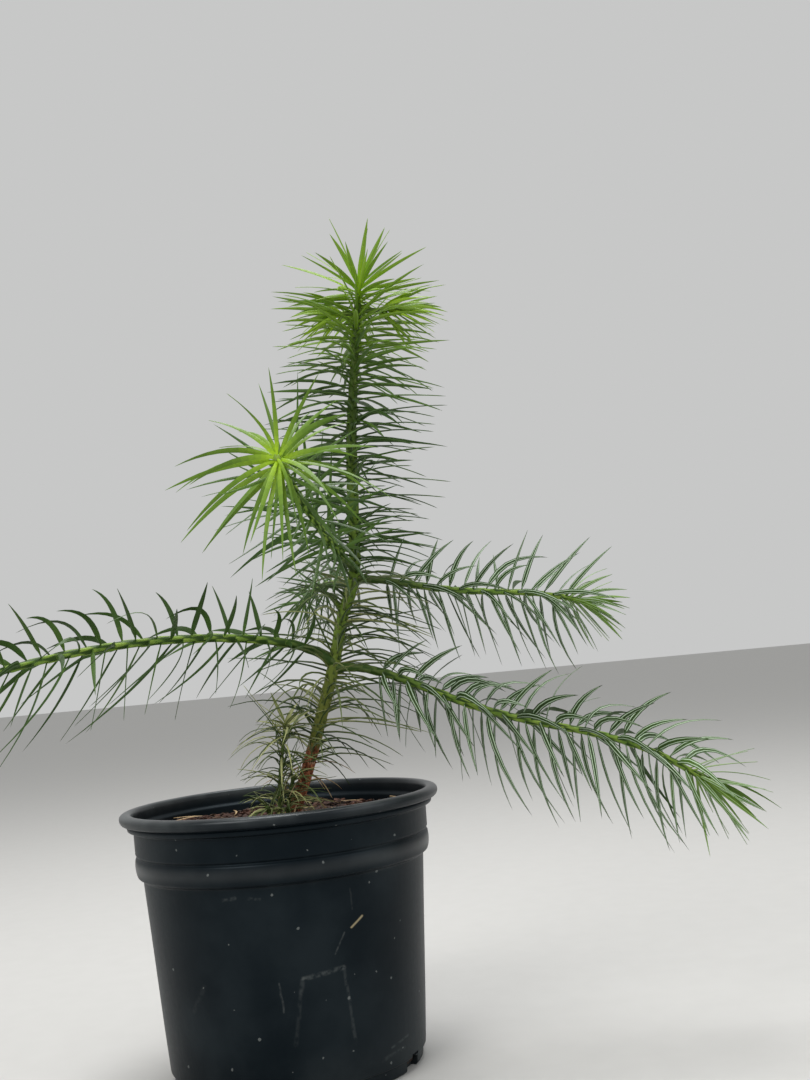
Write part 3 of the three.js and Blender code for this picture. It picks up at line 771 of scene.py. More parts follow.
class Stem:
    """A smooth line with a radius at each distance along it. Turns round it are counted from near."""

    def __init__(self, corners, radius_at, near=UP):
        self.line = smooth_line(corners)
        self.reach = [0.0]
        for a, b in zip(self.line, self.line[1:]):
            self.reach.append(self.reach[-1] + (b - a).length)
        self.length = self.reach[-1]
        self.radius_at = radius_at
        self.near = near

    def at(self, s):
        s = min(self.length, max(0.0, s))
        k = next(i for i in range(1, len(self.reach)) if self.reach[i] >= s)
        run = self.reach[k] - self.reach[k - 1]
        return self.line[k - 1].lerp(self.line[k], (s - self.reach[k - 1]) / run if run else 0.0)

    def along(self, s):
        return (self.at(s + 0.5) - self.at(s - 0.5)).normalized()

    def at_height(self, z):
        """The distance along the stem at which it reaches a height."""
        low, high = 0.0, self.length
        for _ in range(40):
            middle = (low + high) / 2
            if self.at(middle).z < z:
                low = middle
            else:
                high = middle
        return low


def value_at(trait, s):
    """A trait is one number, or a function of the distance along the stem."""
    return float(trait(s) if callable(trait) else trait)


def path_of(stem, start, end, **traits):
    """A line of edges along part of a stem, whose points carry the radius and the traits of the needles."""
    count = max(2, round((end - start) / PATH_STEP))
    places = [start + (end - start) * k / count for k in range(count + 1)]
    mesh = mesh_of("path", [stem.at(s) for s in places], edges=[(k, k + 1) for k in range(count)])
    for name, trait in {"radius": stem.radius_at, **traits}.items():
        layer = mesh.attributes.new(name, "FLOAT", "POINT")
        layer.data.foreach_set("value", [value_at(trait, s) for s in places])
    return object_of("path", mesh)


def pointing(heading, rise):
    """A unit vector from a heading, turned from +X towards +Y, and a rise above the level, in degrees."""
    level = math.cos(math.radians(rise))
    a = math.radians(heading)
    return Vector((level * math.cos(a), level * math.sin(a), math.sin(math.radians(rise))))


# Limbs

BASE_LENGTH = 9.0  # how far the ridge of a leaf base runs down the limb
BARK_FADE = 9.0  # how far above and below its top the bark gives way to skin
RING_STEP = 0.75


def limb_tree(candidates):
    """A tapering limb round a path, with a ridge down from the root of each needle, and bark at its foot."""
    graph, given = new_tree(
        "Limb with leaf bases %d" % candidates, Int="Sides, Rings", Vector="Near", Material="Skin",
        Float="First Root, Pitch, First Turn, Base Length, Base Width, Base Height, Bark Top, Bark Depth",
    )
    curve = graph.add("GeometryNodeMeshToCurve", {0: given["Geometry"]})
    length = graph.add("GeometryNodeCurveLength", {0: curve})
    values = {"Vertices": given["Sides"], "Side Segments": given["Rings"], "Radius": 1.0, "Depth": 1.0}
    tube = graph.add("GeometryNodeMeshCylinder", values, fill_type="NGON")
    place = graph.add("GeometryNodeInputPosition")
    turn = place.part("Y").math("ARCTAN2", place.part("X"))
    share = place.part("Z") + 0.5
    s = share * length
    values = {"Curves": curve, "Value": graph.named("radius"), "Factor": share}
    radius = graph.add("GeometryNodeSampleCurve", values, mode="FACTOR", data_type="FLOAT")
    centre, along = radius.output("Position"), radius.output("Tangent")
    out = outwards(given["Near"], along, turn)

    lowest = ((s - given["First Root"]) / given["Pitch"]).floor()
    relief = None
    for k in range(candidates):
        root = lowest + k
        down = given["First Root"] + root * given["Pitch"] - s
        fade = down / given["Base Length"]
        wide = given["Base Width"] * (1 - 0.45 * fade)
        aside = (turn - given["First Turn"] - root * GOLDEN_ANGLE).wrapped() / wide
        ridge = (1 - aside * aside).most(0) * fade.ease(1.0, 0.12) * down.ease(-0.55, 0.15)
        relief = ridge if relief is None else relief.most(ridge)

    bark = (given["Bark Top"] - s).ease(-BARK_FADE, BARK_FADE)
    spot = graph.vector(out.part("X") * radius, out.part("Y") * radius, s * 0.22)
    cracks = graph.cells(spot, 1.15, "DISTANCE_TO_EDGE").ease(0.0, 0.16)
    flakes = cracks * 0.7 + graph.noise(spot, 1.9, 3) * 0.6
    grown_out = relief * given["Base Height"] * (1 - bark) + (flakes - 0.6) * given["Bark Depth"] * bark
    bud = (length - s).ease(2.2, 0.6)
    tube = graph.store(tube, "relief", (relief * (1 - bark) + cracks * bark).most(bud))
    body = graph.moved(tube, Position=centre + out * (radius + grown_out))
    body = graph.add("GeometryNodeSetShadeSmooth", {"Geometry": body})
    real = graph.add("GeometryNodeRealizeInstances", {0: body})
    graph.add("NodeGroupOutput", {0: graph.paint(real, given["Skin"])})
    return graph


def limb(name, stem, start, end, sides, pitch, first_root, first_turn=0.0, skin=GREEN_SKIN, **sizes):
    """The whole limb from start to end, with the leaf bases of the same spiral as its needles."""
    inputs = dict(
        Sides=sides, Rings=round((end - start) / RING_STEP), Near=stem.near, First_Root=first_root - start,
        Pitch=pitch, First_Turn=first_turn, Base_Length=BASE_LENGTH, Base_Width=0.6, Base_Height=0.36,
        Bark_Top=-100.0, Skin=skin,
    )
    graph = limb_tree(math.ceil(BASE_LENGTH / pitch) + 1)
    mesh = grown(path_of(stem, start, end), graph, **{**inputs, **sizes})
    return finished(name, mesh, keep=("relief",))


# Needles

# half width of a blade at shares of its length
BLADE_HALF_WIDTHS = [
    (0.0, 0.55), (0.05, 0.6), (0.16, 0.88), (0.3, 1.0), (0.5, 0.93), (0.7, 0.7), (0.85, 0.42), (1.0, 0.05),
]
STATIONS = [0.0, 0.06, 0.2, 0.36, 0.52, 0.68, 0.83, 0.94]
FINE_STATIONS = [0.0, 0.03, 0.07, 0.12, 0.18, 0.25, 0.33, 0.42, 0.52, 0.62, 0.72, 0.82, 0.91, 0.97]
# across and height of a blade's section: a low roof above, and two pale bands beside the rib below
BLADE_SECTION = [(1, 0), (0, 0.3), (-1, 0), (-0.66, -0.17), (-0.37, -0.28), (0.37, -0.28), (0.66, -0.17)]
BLADE_EDGES = (0, 2)
BAND_SIDES = (3, 5)
BAND_START = 0.04  # the bands begin at this share of a blade's length
THINNING = 0.65  # how much of its thickness a blade loses towards its tip
NEEDLE_BEND = 0.42  # the share of a needle's length over which it keeps its first direction
YOUNG_AGE = 2.6  # needles of more than this age have the young band


def half_width_at(t):
    k = next(i for i in range(1, len(BLADE_HALF_WIDTHS)) if BLADE_HALF_WIDTHS[i][0] >= t)
    (low, a), (high, b) = BLADE_HALF_WIDTHS[k - 1 : k + 1]
    return mix(a, b, (t - low) / (high - low))


def blade_shape(stations):
    """A needle along +Z from 0 to 1, with its half width as 1, which the needle tree bends to its place."""
    sides = len(BLADE_SECTION)
    points = [(x * half_width_at(t), y * (1 - THINNING * t), t) for t in stations for x, y in BLADE_SECTION]
    points.append((0, 0, 1))
    last_ring = len(points) - 1 - sides
    tip = [(last_ring + i, last_ring + (i + 1) % sides, len(points) - 1) for i in range(sides)]
    mesh = mesh_of("blade", points, [tuple(reversed(range(sides))), *ring_faces(len(stations), sides), *tip])
    set_smooth(mesh)
    bands = [float(i in BAND_SIDES and t > BAND_START) for t in stations[:-1] for i in range(sides)]
    band = mesh.attributes.new("band", "FLOAT", "FACE")
    band.data.foreach_set("value", [0.0, *bands, *[0.0] * sides])
    along = mesh.attributes.new("along_blade", "FLOAT", "POINT")
    along.data.foreach_set("value", [p[2] for p in points])
    sharp = mesh.attributes.new("sharp_edge", "BOOLEAN", "EDGE")
    for edge in mesh.edges:
        a, b = (corner % sides for corner in edge.vertices)
        sharp.data[edge.index].value = a == b and a in BLADE_EDGES
    return mesh


def needle_tree():
    """Needles in a spiral along a path: each is a blade that leaves at an angle, bends over and may hook."""
    graph, given = new_tree(
        "Needles along a stem", Object="Blade", Int="Count, Seed", Vector="Near, Facing",
        Float="First Turn, Scatter, Root Depth, Thickness, Upper Angle, Under Angle, Angle Spread, Sweep, "
              "Upper Sweep, Under Sweep, Upper Droop, Under Droop, Upper Length, Under Width, Hook, Curl, "
              "Twist, Facing Share, Tint Spread, Root Glow, Ground",
        Material="Band, Young Band, " + ", ".join("Green %d" % k for k in range(GREEN_COUNT)),
    )
    seed = given["Seed"] * 20

    def by_side(base, label):
        return base + given["Upper " + label] * upper + given["Under " + label] * under

    def either_way(number):
        return graph.chance(-1.0, 1.0, seed + number)

    curve = graph.add("GeometryNodeMeshToCurve", {0: given["Geometry"]})
    points = graph.add("GeometryNodeCurveToPoints", {"Curve": curve, "Count": given["Count"]}, mode="COUNT")
    along = points.output("Tangent")
    place = graph.add("GeometryNodeInputPosition")
    number = graph.add("GeometryNodeInputIndex")
    turn = given["First Turn"] + number * GOLDEN_ANGLE + either_way(1) * given["Scatter"]
    out = outwards(given["Near"], along, turn)
    upper, under = out.part("Z").most(0), (-out.part("Z")).most(0)
    angle = by_side(graph.named("angle"), "Angle") + either_way(2) * given["Angle Spread"]
    droop = by_side(graph.named("droop"), "Droop") * graph.chance(0.6, 1.4, seed + 3)
    leaving = along * angle.cosine() + out * angle.sine()
    ending = (leaving + along * by_side(given["Sweep"], "Sweep") - graph.vector(0.0, 0.0, droop)).unit()
    length = graph.named("length") * (1 + given["Upper Length"] * upper) * graph.chance(0.78, 1.07, seed + 4)
    width = graph.named("width") * (1 + given["Under Width"] * under)
    hooked = graph.chance(0.0, 1.0, seed + 10)
    hook = along * 0.75 + out * -0.35 - graph.vector(0.0, 0.0, 0.5)
    traits = {
        "root": place + out * (graph.named("radius") * given["Root Depth"]),
        "leaving": leaving * (length * NEEDLE_BEND),
        "ending": ending * (length * (1 - NEEDLE_BEND)),
        "hook": hook * (hooked * hooked * given["Hook"] * length),
        "side": along.cross(out),
        "half_width": width * graph.chance(0.43, 0.57, seed + 5),
        "curl": either_way(6) * given["Curl"] * length,
        "facing_share": given["Facing Share"] * graph.chance(0.2, 1.0, seed + 7),
        "twist": either_way(11) * given["Twist"],
        "tint": graph.named("age") + either_way(8) * given["Tint Spread"],
        "fallen": graph.chance(0.0, 1.0, seed + 9) > graph.named("kept"),
    }
    for name, value in traits.items():
        points = graph.store(points, name, value)
    fallen = graph.named("fallen") > 0.5
    points = graph.add("GeometryNodeDeleteGeometry", {0: points, 1: fallen}, domain="POINT")
    root, leave, end, hook, side = (
        graph.named(name, "FLOAT_VECTOR") for name in ("root", "leaving", "ending", "hook", "side")
    )
    points = graph.moved(points, Position=root)
    blade = graph.add("GeometryNodeObjectInfo", {0: given["Blade"]}, "Geometry")
    placed = graph.add("GeometryNodeInstanceOnPoints", {"Points": points, "Instance": blade})
    real = graph.add("GeometryNodeRealizeInstances", {0: placed})

    flat = place - root
    t = graph.named("along_blade")
    centre = root + leave * (2 * t - t * t) + end * (t * t) + hook * t**3
    heading = (leave * (1 - t) + end * t + hook * (1.5 * t * t)).unit()
    ridge = heading.cross(side.across(heading))
    free = t.ease(0.0, 0.22)
    share = graph.named("facing_share") * free
    ridge = (ridge * (1 - share) + given["Facing"] * share).across(heading)
    side = ridge.cross(heading)
    twist = graph.named("twist") * (free * 0.6 + t * 0.7)
    side, ridge = side * twist.cosine() + ridge * twist.sine(), ridge * twist.cosine() - side * twist.sine()
    bent = centre + side * (graph.named("curl") * t * t)
    bent = graph.vector(bent.part("X"), bent.part("Y"), bent.part("Z").most(given["Ground"]))
    across = side * (flat.part("X") * graph.named("half_width"))
    real = graph.moved(real, Position=bent + across + ridge * (flat.part("Y") * given["Thickness"]))

    glow = (1 - t) ** 3 * given["Root Glow"]
    shade = (graph.named("tint") + glow) * SHADES
    real = graph.paint(real, given["Green 0"])
    for k in range(1, GREEN_COUNT):
        real = graph.paint(real, given["Green %d" % k], shade > k - 0.5)
    band, young = graph.named("band"), graph.named("tint") > YOUNG_AGE
    real = graph.paint(real, given["Band"], band > 0.5)
    real = graph.paint(real, given["Young Band"], band * young > 0.5)
    graph.add("NodeGroupOutput", {0: real})
    return graph


NEEDLES = needle_tree()
BLADE, FINE_BLADE = (object_of("blade", blade_shape(stations)) for stations in (STATIONS, FINE_STATIONS))


def needles(name, stem, start, end, every, length, angle, droop, age, width=2.3, kept=1.0, **sizes):
    """A spray of needles from start to end of a stem, one at every so many millimetres.

    Angles are in degrees, age rises with the shade of green, and kept is the share of needles still there.
    """
    count = math.floor((end - start) / every) + 1
    path = path_of(
        stem, start, start + (count - 1) * every, length=length, droop=droop, age=age, width=width, kept=kept,
        angle=lambda s: math.radians(value_at(angle, s)),
    )
    inputs = dict(
        Blade=BLADE, Count=count, Scatter=0.15, Near=stem.near, Root_Depth=0.3, Thickness=1.2,
        Angle_Spread=0.12, Sweep=0.1, Hook=0.1, Curl=0.06, Twist=0.6, Tint_Spread=0.5, **GREENS, **PALE_BANDS,
    )
    return finished(name, grown(path, NEEDLES, **{**inputs, **sizes}))


# The trunk and its needles

TRUNK_LINE = [
    (5, 0, 122.8), (13, 0, 141), (22.5, 0, 167), (34, 0, 201), (40.5, 1, 225), (48.5, 1.5, 246),
    (51.5, 2, 285), (54, 1, 325), (59.5, 0, 368), (63.6, 0, 396),
]
FOOT_RADIUS, MIDDLE_RADIUS, TIP_TAPER, ROOT_FLARE = 3.15, 2.95, 1.2, 1.6


def trunk_radius(s):
    t = s / trunk.length
    lower = mix(FOOT_RADIUS, MIDDLE_RADIUS, min(1, t / 0.35))
    return lower - eased(t, 0.6, 1) * TIP_TAPER + ROOT_FLARE * math.exp(-max(0, s) / 3)


trunk = Stem(TRUNK_LINE, trunk_radius, TO_RIGHT)
TRUNK_STEP = 0.5  # millimetres of trunk for each needle
TRUNK_FIRST_ROOT = trunk.at_height(152)
TRUNK_FIRST_TURN = 1.3
# The five masses of needles up the trunk, each from one height to another
STRETCHES = {"foot": (151, 202), "low": (202, 248), "mid": (248, 296), "high": (296, 340), "top": (340, 395)}
# Traits of the trunk's needles at these heights
TRUNK_HEIGHTS = (152, 175, 200, 225, 250, 296, 340, 365, 380, 396)
TRUNK_TRAITS = {
    "length": (49.5, 56.7, 58.5, 56.25, 50.4, 49.5, 49.5, 49.5, 50.4, 51.75),
    "angle": (54, 60, 64, 66, 74, 80, 80, 76, 70, 66),
    "droop": (1.3, 1.15, 1.1, 1.05, 0.8, 0.5, 0.6, 0.7, 0.6, 0.4),
    "age": (0.8, 0.8, 0.9, 0.9, 0.9, 0.9, 1.3, 2.4, 3.5, 3.7),
    "kept": (0.5, 0.78, 0.84, 0.78, 0.74, 0.76, 0.86, 1.0, 1.0, 1.0),
    "width": (1.2, 1.35, 1.4, 1.6, 2.0, 2.2, 2.4, 2.6, 2.7, 2.7),
}
DRY_HEIGHTS = (126, 150)  # dead needles still hang between these
STUB_HEIGHT = 230
STUB_COURSE = (188, 38)  # its heading and rise
STUB_REACH = 6.2
# Old needles in the two lower stretches stand and bend less evenly, and are duller
OLD_STRETCHES = ("foot", "low")
OLD_HABIT = dict(Angle_Spread=0.32, Hook=0.3, Curl=0.22, Tint_Spread=0.9, **OLD_GREENS)
NEW_HABIT = dict(Angle_Spread=0.2, Hook=0.16, Curl=0.08, Tint_Spread=0.6)


def by_height(values):
    """A trait of the trunk's needles as a function of the distance along the trunk."""
    def at(s):
        z = trunk.at(s).z
        k = max(1, sum(z > height for height in TRUNK_HEIGHTS[:-1]))
        low, high = TRUNK_HEIGHTS[k - 1 : k + 1]
        return mix(values[k - 1], values[k], clamped((z - low) / (high - low)))

    return at


def make_trunk_needles(name, seed):
    start, end = (trunk.at_height(z) for z in STRETCHES[name])
    first = math.ceil((start - TRUNK_FIRST_ROOT) / TRUNK_STEP)
    return needles(
        "needles_round_trunk_" + name, trunk, TRUNK_FIRST_ROOT + first * TRUNK_STEP, end - TRUNK_STEP,
        TRUNK_STEP,
        **{key: by_height(values) for key, values in TRUNK_TRAITS.items()},
        **(OLD_HABIT if name in OLD_STRETCHES else NEW_HABIT), **CROWN_BANDS,
        First_Turn=TRUNK_FIRST_TURN + first * GOLDEN_ANGLE, Scatter=0.35, Root_Depth=0.7, Thickness=1.9,
        Root_Glow=0.5, Twist=1.0, Seed=seed,
    )


def make_trunk():
    return limb(
        "leader_trunk", trunk, 0.0, trunk.length, sides=40, pitch=TRUNK_STEP * 2, first_root=TRUNK_FIRST_ROOT,
        first_turn=TRUNK_FIRST_TURN, skin=TRUNK_SKIN, Base_Width=0.62, Bark_Top=35.0, Bark_Depth=0.7,
    )


def make_stub():
    """A short dead stub where a twig broke off the trunk."""
    foot = trunk.at(trunk.at_height(STUB_HEIGHT))
    stem = Stem([foot, foot + pointing(*STUB_COURSE) * STUB_REACH], lambda s: 1.5 - 0.05 * s)
    return limb("trunk_stub", stem, 0.5, stem.length, sides=12, pitch=1.4, first_root=0.5, skin=TRUNK_SKIN)


def make_dry_needles():
    """Dead needles that still hang round the trunk's foot."""
    return needles(
        "dry_needles_round_foot", trunk, *(trunk.at_height(z) for z in DRY_HEIGHTS),
        every=2.0, length=33, angle=66, droop=2.0, age=0.0, width=1.2,
        Ground=LITTER_TOP, Curl=0.4, Hook=0.5, Twist=1.2, Angle_Spread=0.4, Seed=44, Band=STRAW,
        **DRY_GREENS,
    )


TUFT_LENGTH = 13


def make_leader_tip():
    """The rosette of young needles round the leader's bud, and the bud's stem."""
    direction = trunk.along(trunk.length - 1)
    foot = trunk.at(trunk.length) - direction
    bud = foot + direction * (TUFT_LENGTH + 1)
    stem = Stem([foot, bud], lambda s: 1.5 * (1 - 0.5 * s / TUFT_LENGTH), TO_RIGHT)

    def share(s):
        return min(1, s / TUFT_LENGTH)

    tuft = needles(
        "leader_tuft", stem, 0.6, TUFT_LENGTH, every=0.27,
        length=lambda s: mix(53.1, 36, share(s)), angle=lambda s: mix(84, 8, share(s) ** 2.6),
        droop=lambda s: mix(0.5, 0.3, share(s)), age=lambda s: mix(3.6, 3.8, share(s)), width=2.8,
        Blade=FINE_BLADE, Root_Glow=2.1, Angle_Spread=0.18, Hook=0.25, Curl=0.12, Twist=0.9,
        Seed=71, First_Turn=0.6, **CROWN_BANDS,
    )
    bud_stem = limb("leader_bud", stem, 0.0, TUFT_LENGTH + 0.8, sides=14, pitch=1.2, first_root=0.8)
    return tuft, bud_stem


# Boughs

BOUGHS = table(
    "height heading length rise lift wave girth",
    left=(201.5, 208, 222, (13, -18), 32, 0, (2.3, 1.5)),
    right_low=(199, -12, 206, (-14, -31), 21, 9, (2.2, 1.4)),
    right_high=(246, 8, 134, (-6, -13), 0, 5, (2, 1.3)),
    front=(251, 255, 158, (7, 21), 0, 0, (2.1, 1.4)),
    back=(241.5, 99, 146, (10, -10), 0, 0, (2, 1.3)),
)
# The angle is given at a bough's foot and tip, in degrees, with what its upper side and its underside add.
# Each triple of sweep and droop is for the sides of a bough, its upper side and its underside.
BOUGH_NEEDLES = table(
    "bare every length angle upper under spread sweep droop age "
    "upper_length hook facing share width under_width",
    left=(14, 2.2, 43.65, (86, 68), 5, -20, 0.16, (0.15, 0.0, 0.0), (0.3, 0.0, 0.25), (0.7, 0.8, 1.8),
          -0.2, 0.85, (0.3, -1, 0.3), 0.6, 2.8, -0.5),
    right_low=(20, 1.55, 45, (84, 74), 8, -6, 0.2, (0.4, 0.5, 0.0), (0.8, 0.3, 2.4), (0.0, 0.3, 1.8),
               -0.18, 0.5, (0, 1, 0.3), 0.9, 3.3, -0.42),
    right_high=(12, 1.6, 42.3, (80, 64), 6, 0, 0.28, (0.35, 0.1, 0.0), (0.7, 0.1, 2.0), (0.3, 0.5, 1.8),
                -0.13, 0.45, (0, 1, 0.3), 0.8, 2.9, -0.4),
    front=(26, 1.9, 46.8, (74, 80), 4, -22, 0.24, (0.2, 0.1, 0.8), (0.6, 0.3, 0.3), (0.9, 1.4, 2.5),
           0.0, 0.25, (0, 0, 1), 0.2, 1.9, -0.1),
    back=(30, 2.3, 34.2, (60, 52), 4, -4, 0.2, (0.5, 0.5, 0.3), (0.5, 0.2, 0.9), (0.2, 0.5, 1.7),
          -0.1, 0.5, (0, -1, 0.3), 0.1, 1.4, -0.25),
)
# The tuft round each bough's bud, with its angle where it begins and where it ends
BOUGH_TIPS = table(
    "reach every angle length droop age glow width upper_length",
    left=(12, 0.55, (62, 14), 35.1, 0.25, 2.2, 1.2, 2.1, 0.0),
    right_low=(14, 0.55, (60, 12), 40.5, 0.3, 2.4, 1.2, 2.4, 0.0),
    right_high=(13, 0.55, (64, 10), 32.4, 0.35, 2.5, 1.2, 2.5, 0.0),
    front=(9, 0.24, (94, 60), 55.8, 0.95, 2.6, 2.6, 2.25, -0.26),
    back=(12, 0.75, (58, 12), 32.4, 0.25, 1.4, 1.2, 1.6, 0.0),
)
BOUGH_RUN = 13
CLOSING_LENGTH = 16  # the stretch before a bough's tip where its needles close in
SEAT_GAP = 0.3  # between the trunk and a bough's foot
FIRST_NEEDLE = 1.5  # from the end of the bare foot to the first needle
STRONG_HOOK = 0.6  # needles that hook more than this are bent over more steps


def bough_stem(bough):
    """A bough's line, in short runs that follow its slope, its lift near the trunk and its wave."""
    points = [trunk.at(trunk.at_height(bough.height))]
    count = math.ceil(bough.length / BOUGH_RUN)
    for k in range(count):
        t = (k + 0.5) / count
        slope = mix(*bough.rise, t) + bough.lift * math.exp(-t / 0.07)
        slope -= bough.wave * math.sin(FULL_TURN * t / 0.84)
        points.append(points[-1] + pointing(bough.heading, slope) * (bough.length / count))
    return Stem(points, lambda s: mix(*bough.girth, min(1, s / bough.length)) + 0.7 * math.exp(-s / 4))


def make_bough(name, seed):
    """A bough's limb, the spray of needles along it, and the tuft round its bud."""
    bough, rule, tuft = BOUGHS[name], BOUGH_NEEDLES[name], BOUGH_TIPS[name]
    stem = bough_stem(bough)
    tip = stem.length
    start = trunk_radius(trunk.at_height(bough.height)) + SEAT_GAP + rule.bare + FIRST_NEEDLE
    first_turn = random.Random(seed).uniform(0, FULL_TURN)
    bands = {} if name.startswith("right") else CROWN_BANDS
    oldest, middle, youngest = rule.age
    sweep, upper_sweep, under_sweep = rule.sweep
    droop, upper_droop, under_droop = rule.droop

    def closed(s):
        return max(0, (s - tip) / CLOSING_LENGTH + 1)

    def share(s):
        return clamped((s - tip) / tuft.reach + 1)

    spray = needles(
        "spray_" + name, stem, start, tip - tuft.reach, rule.every,
        length=lambda s: rule.length * mix(0.78, 1.08, eased(s / tip, 0, 0.55)),
        angle=lambda s: mix(*rule.angle, s / tip) * (1 - 0.25 * closed(s)),
        droop=lambda s: droop * (1 - 0.4 * closed(s)),
        age=lambda s: mix(oldest, middle, s / tip) + (youngest - middle) * eased(s / tip, 0.78, 1.0),
        width=rule.width, Blade=FINE_BLADE if rule.hook > STRONG_HOOK else BLADE, First_Turn=first_turn,
        Upper_Angle=math.radians(rule.upper), Under_Angle=math.radians(rule.under), Angle_Spread=rule.spread,
        Sweep=sweep, Upper_Sweep=upper_sweep - sweep, Under_Sweep=under_sweep - sweep,
        Upper_Droop=upper_droop - droop, Under_Droop=under_droop - droop, Upper_Length=rule.upper_length,
        Under_Width=rule.under_width, Hook=rule.hook, Facing=Vector(rule.facing), Facing_Share=rule.share,
        Curl=0.09, Root_Glow=0.6, Seed=seed, **bands,
    )
    head = needles(
        "tuft_" + name, stem, tip - tuft.reach + 0.4, tip - 0.3, tuft.every,
        length=lambda s: tuft.length * mix(1.05, 0.9, share(s)),
        angle=lambda s: mix(*tuft.angle, share(s) ** 1.4),
        droop=tuft.droop, age=tuft.age, width=tuft.width,
        Blade=FINE_BLADE, Root_Glow=tuft.glow, Angle_Spread=0.2, Upper_Droop=-0.35 * tuft.droop,
        Upper_Length=tuft.upper_length, Hook=0.15, Curl=0.1, Twist=0.8, Seed=seed + 50, **bands,
    )
    wood = limb(
        "limb_" + name, stem, 0.5, tip, sides=18, pitch=rule.every, first_root=start, first_turn=first_turn,
    )
    return wood, spray, head


SHOOTS = table(
    "height heading rise length",
    left=(391, 186, -4, 15),
    right=(391.5, -8, -2, 24),
    back=(392, 92, 2, 16),
)


def make_shoot(name, shoot, seed):
    """A short new shoot near the leader's tip, with its needles."""
    s0 = trunk.at_height(shoot.height)
    foot = trunk.at(s0)
    reach = shoot.length + trunk_radius(s0)
    stem = Stem([foot, foot + pointing(shoot.heading, shoot.rise) * reach], lambda s: 1.25 - 0.3 * s / reach)
    spray = needles(
        "shoot_needles_" + name, stem, reach * 0.4, reach - 0.5, every=0.5,
        length=27, angle=lambda s: mix(76, 24, s / reach), droop=0.5, age=4.0, width=2.2,
        Sweep=0.3, Root_Glow=0.7, Angle_Spread=0.3, Hook=0.2, Twist=1.0, Tint_Spread=0.8, Seed=seed,
        First_Turn=float(seed), **CROWN_BANDS,
    )
    wood = limb(
        "shoot_stem_" + name, stem, 0.3, reach, sides=12, pitch=1.5, first_root=reach * 0.4,
        first_turn=float(seed),
    )
    return wood, spray


# The sprout's stems, with heights above the mix: a tall one that ends in a rosette, and two short ones
SPROUT_LINES = [
    [(-1, -11, -1), (1, -13, 24), (6, -15, 51)],
    [(2, -9, -1), (5, -10, 12), (8, -11, 24)],
    [(-3, -10, -1), (-5, -12, 5), (-7, -15, 10)],
]


def make_sprout_stem(number):
    """One of the sprout's stems with the thin curved needles along it."""
    points = [(x, y, SOIL_TOP + rise) for x, y, rise in SPROUT_LINES[number]]
    stem = Stem(points, lambda s: 0.8 - s * 0.004, TO_RIGHT)
    spray = needles(
        "sprout_needles_%d" % (number + 1), stem, 4, stem.length - 1, every=0.52,
        length=lambda s: 20.7 + 0.36 * s, angle=lambda s: mix(32, 60, s / 50), droop=1.5,
        age=lambda s: 1.1 + 0.022 * abs(s - 30), width=1.1,
        Ground=LITTER_TOP, Sweep=0.5, Hook=0.45, Curl=0.45, Angle_Spread=0.6, Tint_Spread=1.0,
        Scatter=1.2, Seed=95 + number, First_Turn=2.0 + number, **OLD_GREENS, **CROWN_BANDS,
    )
    wood = limb(
        "sprout_stem_%d" % (number + 1), stem, 0.0, stem.length, sides=10, pitch=1.05, first_root=10,
        first_turn=2.0,
    )
    return stem, wood, spray


def make_sprout_rosette(stem):
    return needles(
        "sprout_rosette", stem, stem.length - 4, stem.length - 0.3, every=0.3,
        length=19, angle=lambda s: mix(90, 25, (s - stem.length + 4) / 4), droop=0.4, age=2.0, width=2.7,
        Root_Glow=1.2, Tint_Spread=0.6, Seed=97, **OLD_GREENS, **CROWN_BANDS,
    )


# Camera, lights and floor

EYE = Vector((0, -0.6669, 0.1996))
PAN, PITCH, ROLL = (math.radians(a) for a in (6.65, 5.49, -5.15))
FOCAL_PIXELS, FRAME_HEIGHT = 1250, 1080
SENSOR = 36
SKY, SKY_STRENGTH = colour(0.895, 0.9, 0.895), 0.64
# place, target, size, power and tone
LIGHTS = {
    "key light": ((-0.9, -1.1, 1.3), (0.02, 0, 0.2), 0.9, 15, (1.0, 0.99, 0.96)),
    "fill light": ((1.2, -0.7, 0.7), (0.02, 0, 0.2), 1.0, 3.5, (0.95, 0.98, 1.0)),
    "top light": ((0.1, 0.3, 1.5), (0.05, 0, 0.25), 0.8, 16, (1.0, 1.0, 1.0)),
}
FLOOR_REACH = 12


def make_camera():
    turns = ((-PAN, "Z"), (PITCH + math.pi / 2, "X"), (ROLL, "Z"))
    pan, pitch, roll = (Matrix.Rotation(angle, 4, axis) for angle, axis in turns)
    data = bpy.data.cameras.new("camera")
    data.sensor_width = SENSOR
    data.lens = FOCAL_PIXELS / FRAME_HEIGHT * SENSOR
    camera = object_of("camera", data)
    camera.matrix_world = Matrix.Translation(EYE) @ pan @ pitch @ roll
    bpy.context.scene.camera = camera


def make_light(name, place, target, size, power, tone):
    data = bpy.data.lights.new(name, "AREA")
    data.shape = "SQUARE"
    data.size = size
    data.energy = power
    data.color = tone
    turn = (Vector(target) - Vector(place)).to_track_quat("-Z", "Y")
    object_of(name, data).matrix_world = Matrix.Translation(place) @ turn.to_matrix().to_4x4()


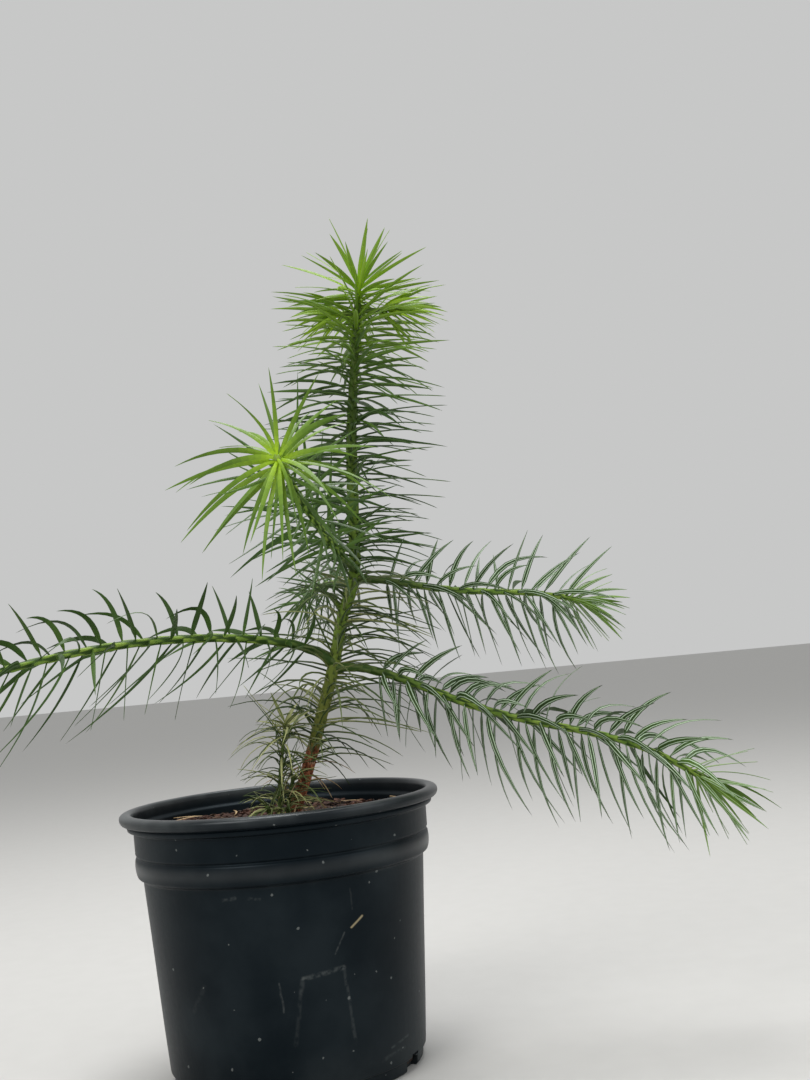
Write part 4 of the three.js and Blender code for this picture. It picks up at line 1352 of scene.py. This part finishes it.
def make_studio():
    scene = bpy.context.scene
    scene.view_settings.view_transform = "Standard"
    scene.world = bpy.data.worlds.new("soft studio")
    scene.world.use_nodes = True
    background = scene.world.node_tree.nodes["Background"].inputs
    background["Color"].default_value = SKY
    background["Strength"].default_value = SKY_STRENGTH
    for name, light in LIGHTS.items():
        make_light(name, *light)
    corners = [(x * FLOOR_REACH, y * FLOOR_REACH, 0) for x, y in ((-1, -1), (1, -1), (1, 1), (-1, 1))]
    floor = object_of("floor", mesh_of("floor", corners, [(0, 1, 2, 3)]))
    floor.data.materials.append(FLOOR)


def place_piece(piece, slot, *nodes):
    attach(piece, "root")
    if nodes:
        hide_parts(*nodes)


make_camera()
make_studio()
place_piece(make_pot(), "pot", "pot")
place_piece(make_mix(), "potting_mix", "potting_mix")
place_piece(make_chips(), "potting_mix")
place_piece(make_straw(), "needles_old")
place_piece(make_trunk(), "bark", "trunk")
place_piece(make_stub(), "bark")
place_piece(make_dry_needles(), "needles_old")
for order, name in enumerate(STRETCHES):
    slot = {"foot": "needles_old", "low": "needles_old", "top": "needles_young"}.get(name, "needles")
    place_piece(make_trunk_needles(name, 51 + order), slot, "needles_trunk_" + name)
tuft, bud = make_leader_tip()
place_piece(tuft, "needles_young", "needles_leader_tip")
place_piece(bud, "green_stem")
for order, name in enumerate(BOUGHS):
    wood, spray, head = make_bough(name, 11 + order)
    place_piece(wood, "green_stem", "bough_" + name)
    place_piece(spray, "needles", "needles_" + name)
    place_piece(head, "needles_young")
for order, (name, shoot) in enumerate(SHOOTS.items()):
    wood, spray = make_shoot(name, shoot, 31 + order)
    place_piece(wood, "green_stem")
    place_piece(spray, "needles_young", "shoot_top_" + name)
for number in range(len(SPROUT_LINES)):
    stem, wood, spray = make_sprout_stem(number)
    place_piece(wood, "green_stem")
    place_piece(spray, "needles_old", "basal_sprout")
    if number == 0:
        place_piece(make_sprout_rosette(stem), "needles_young")
for blade in (BLADE, FINE_BLADE):
    bpy.data.objects.remove(blade)
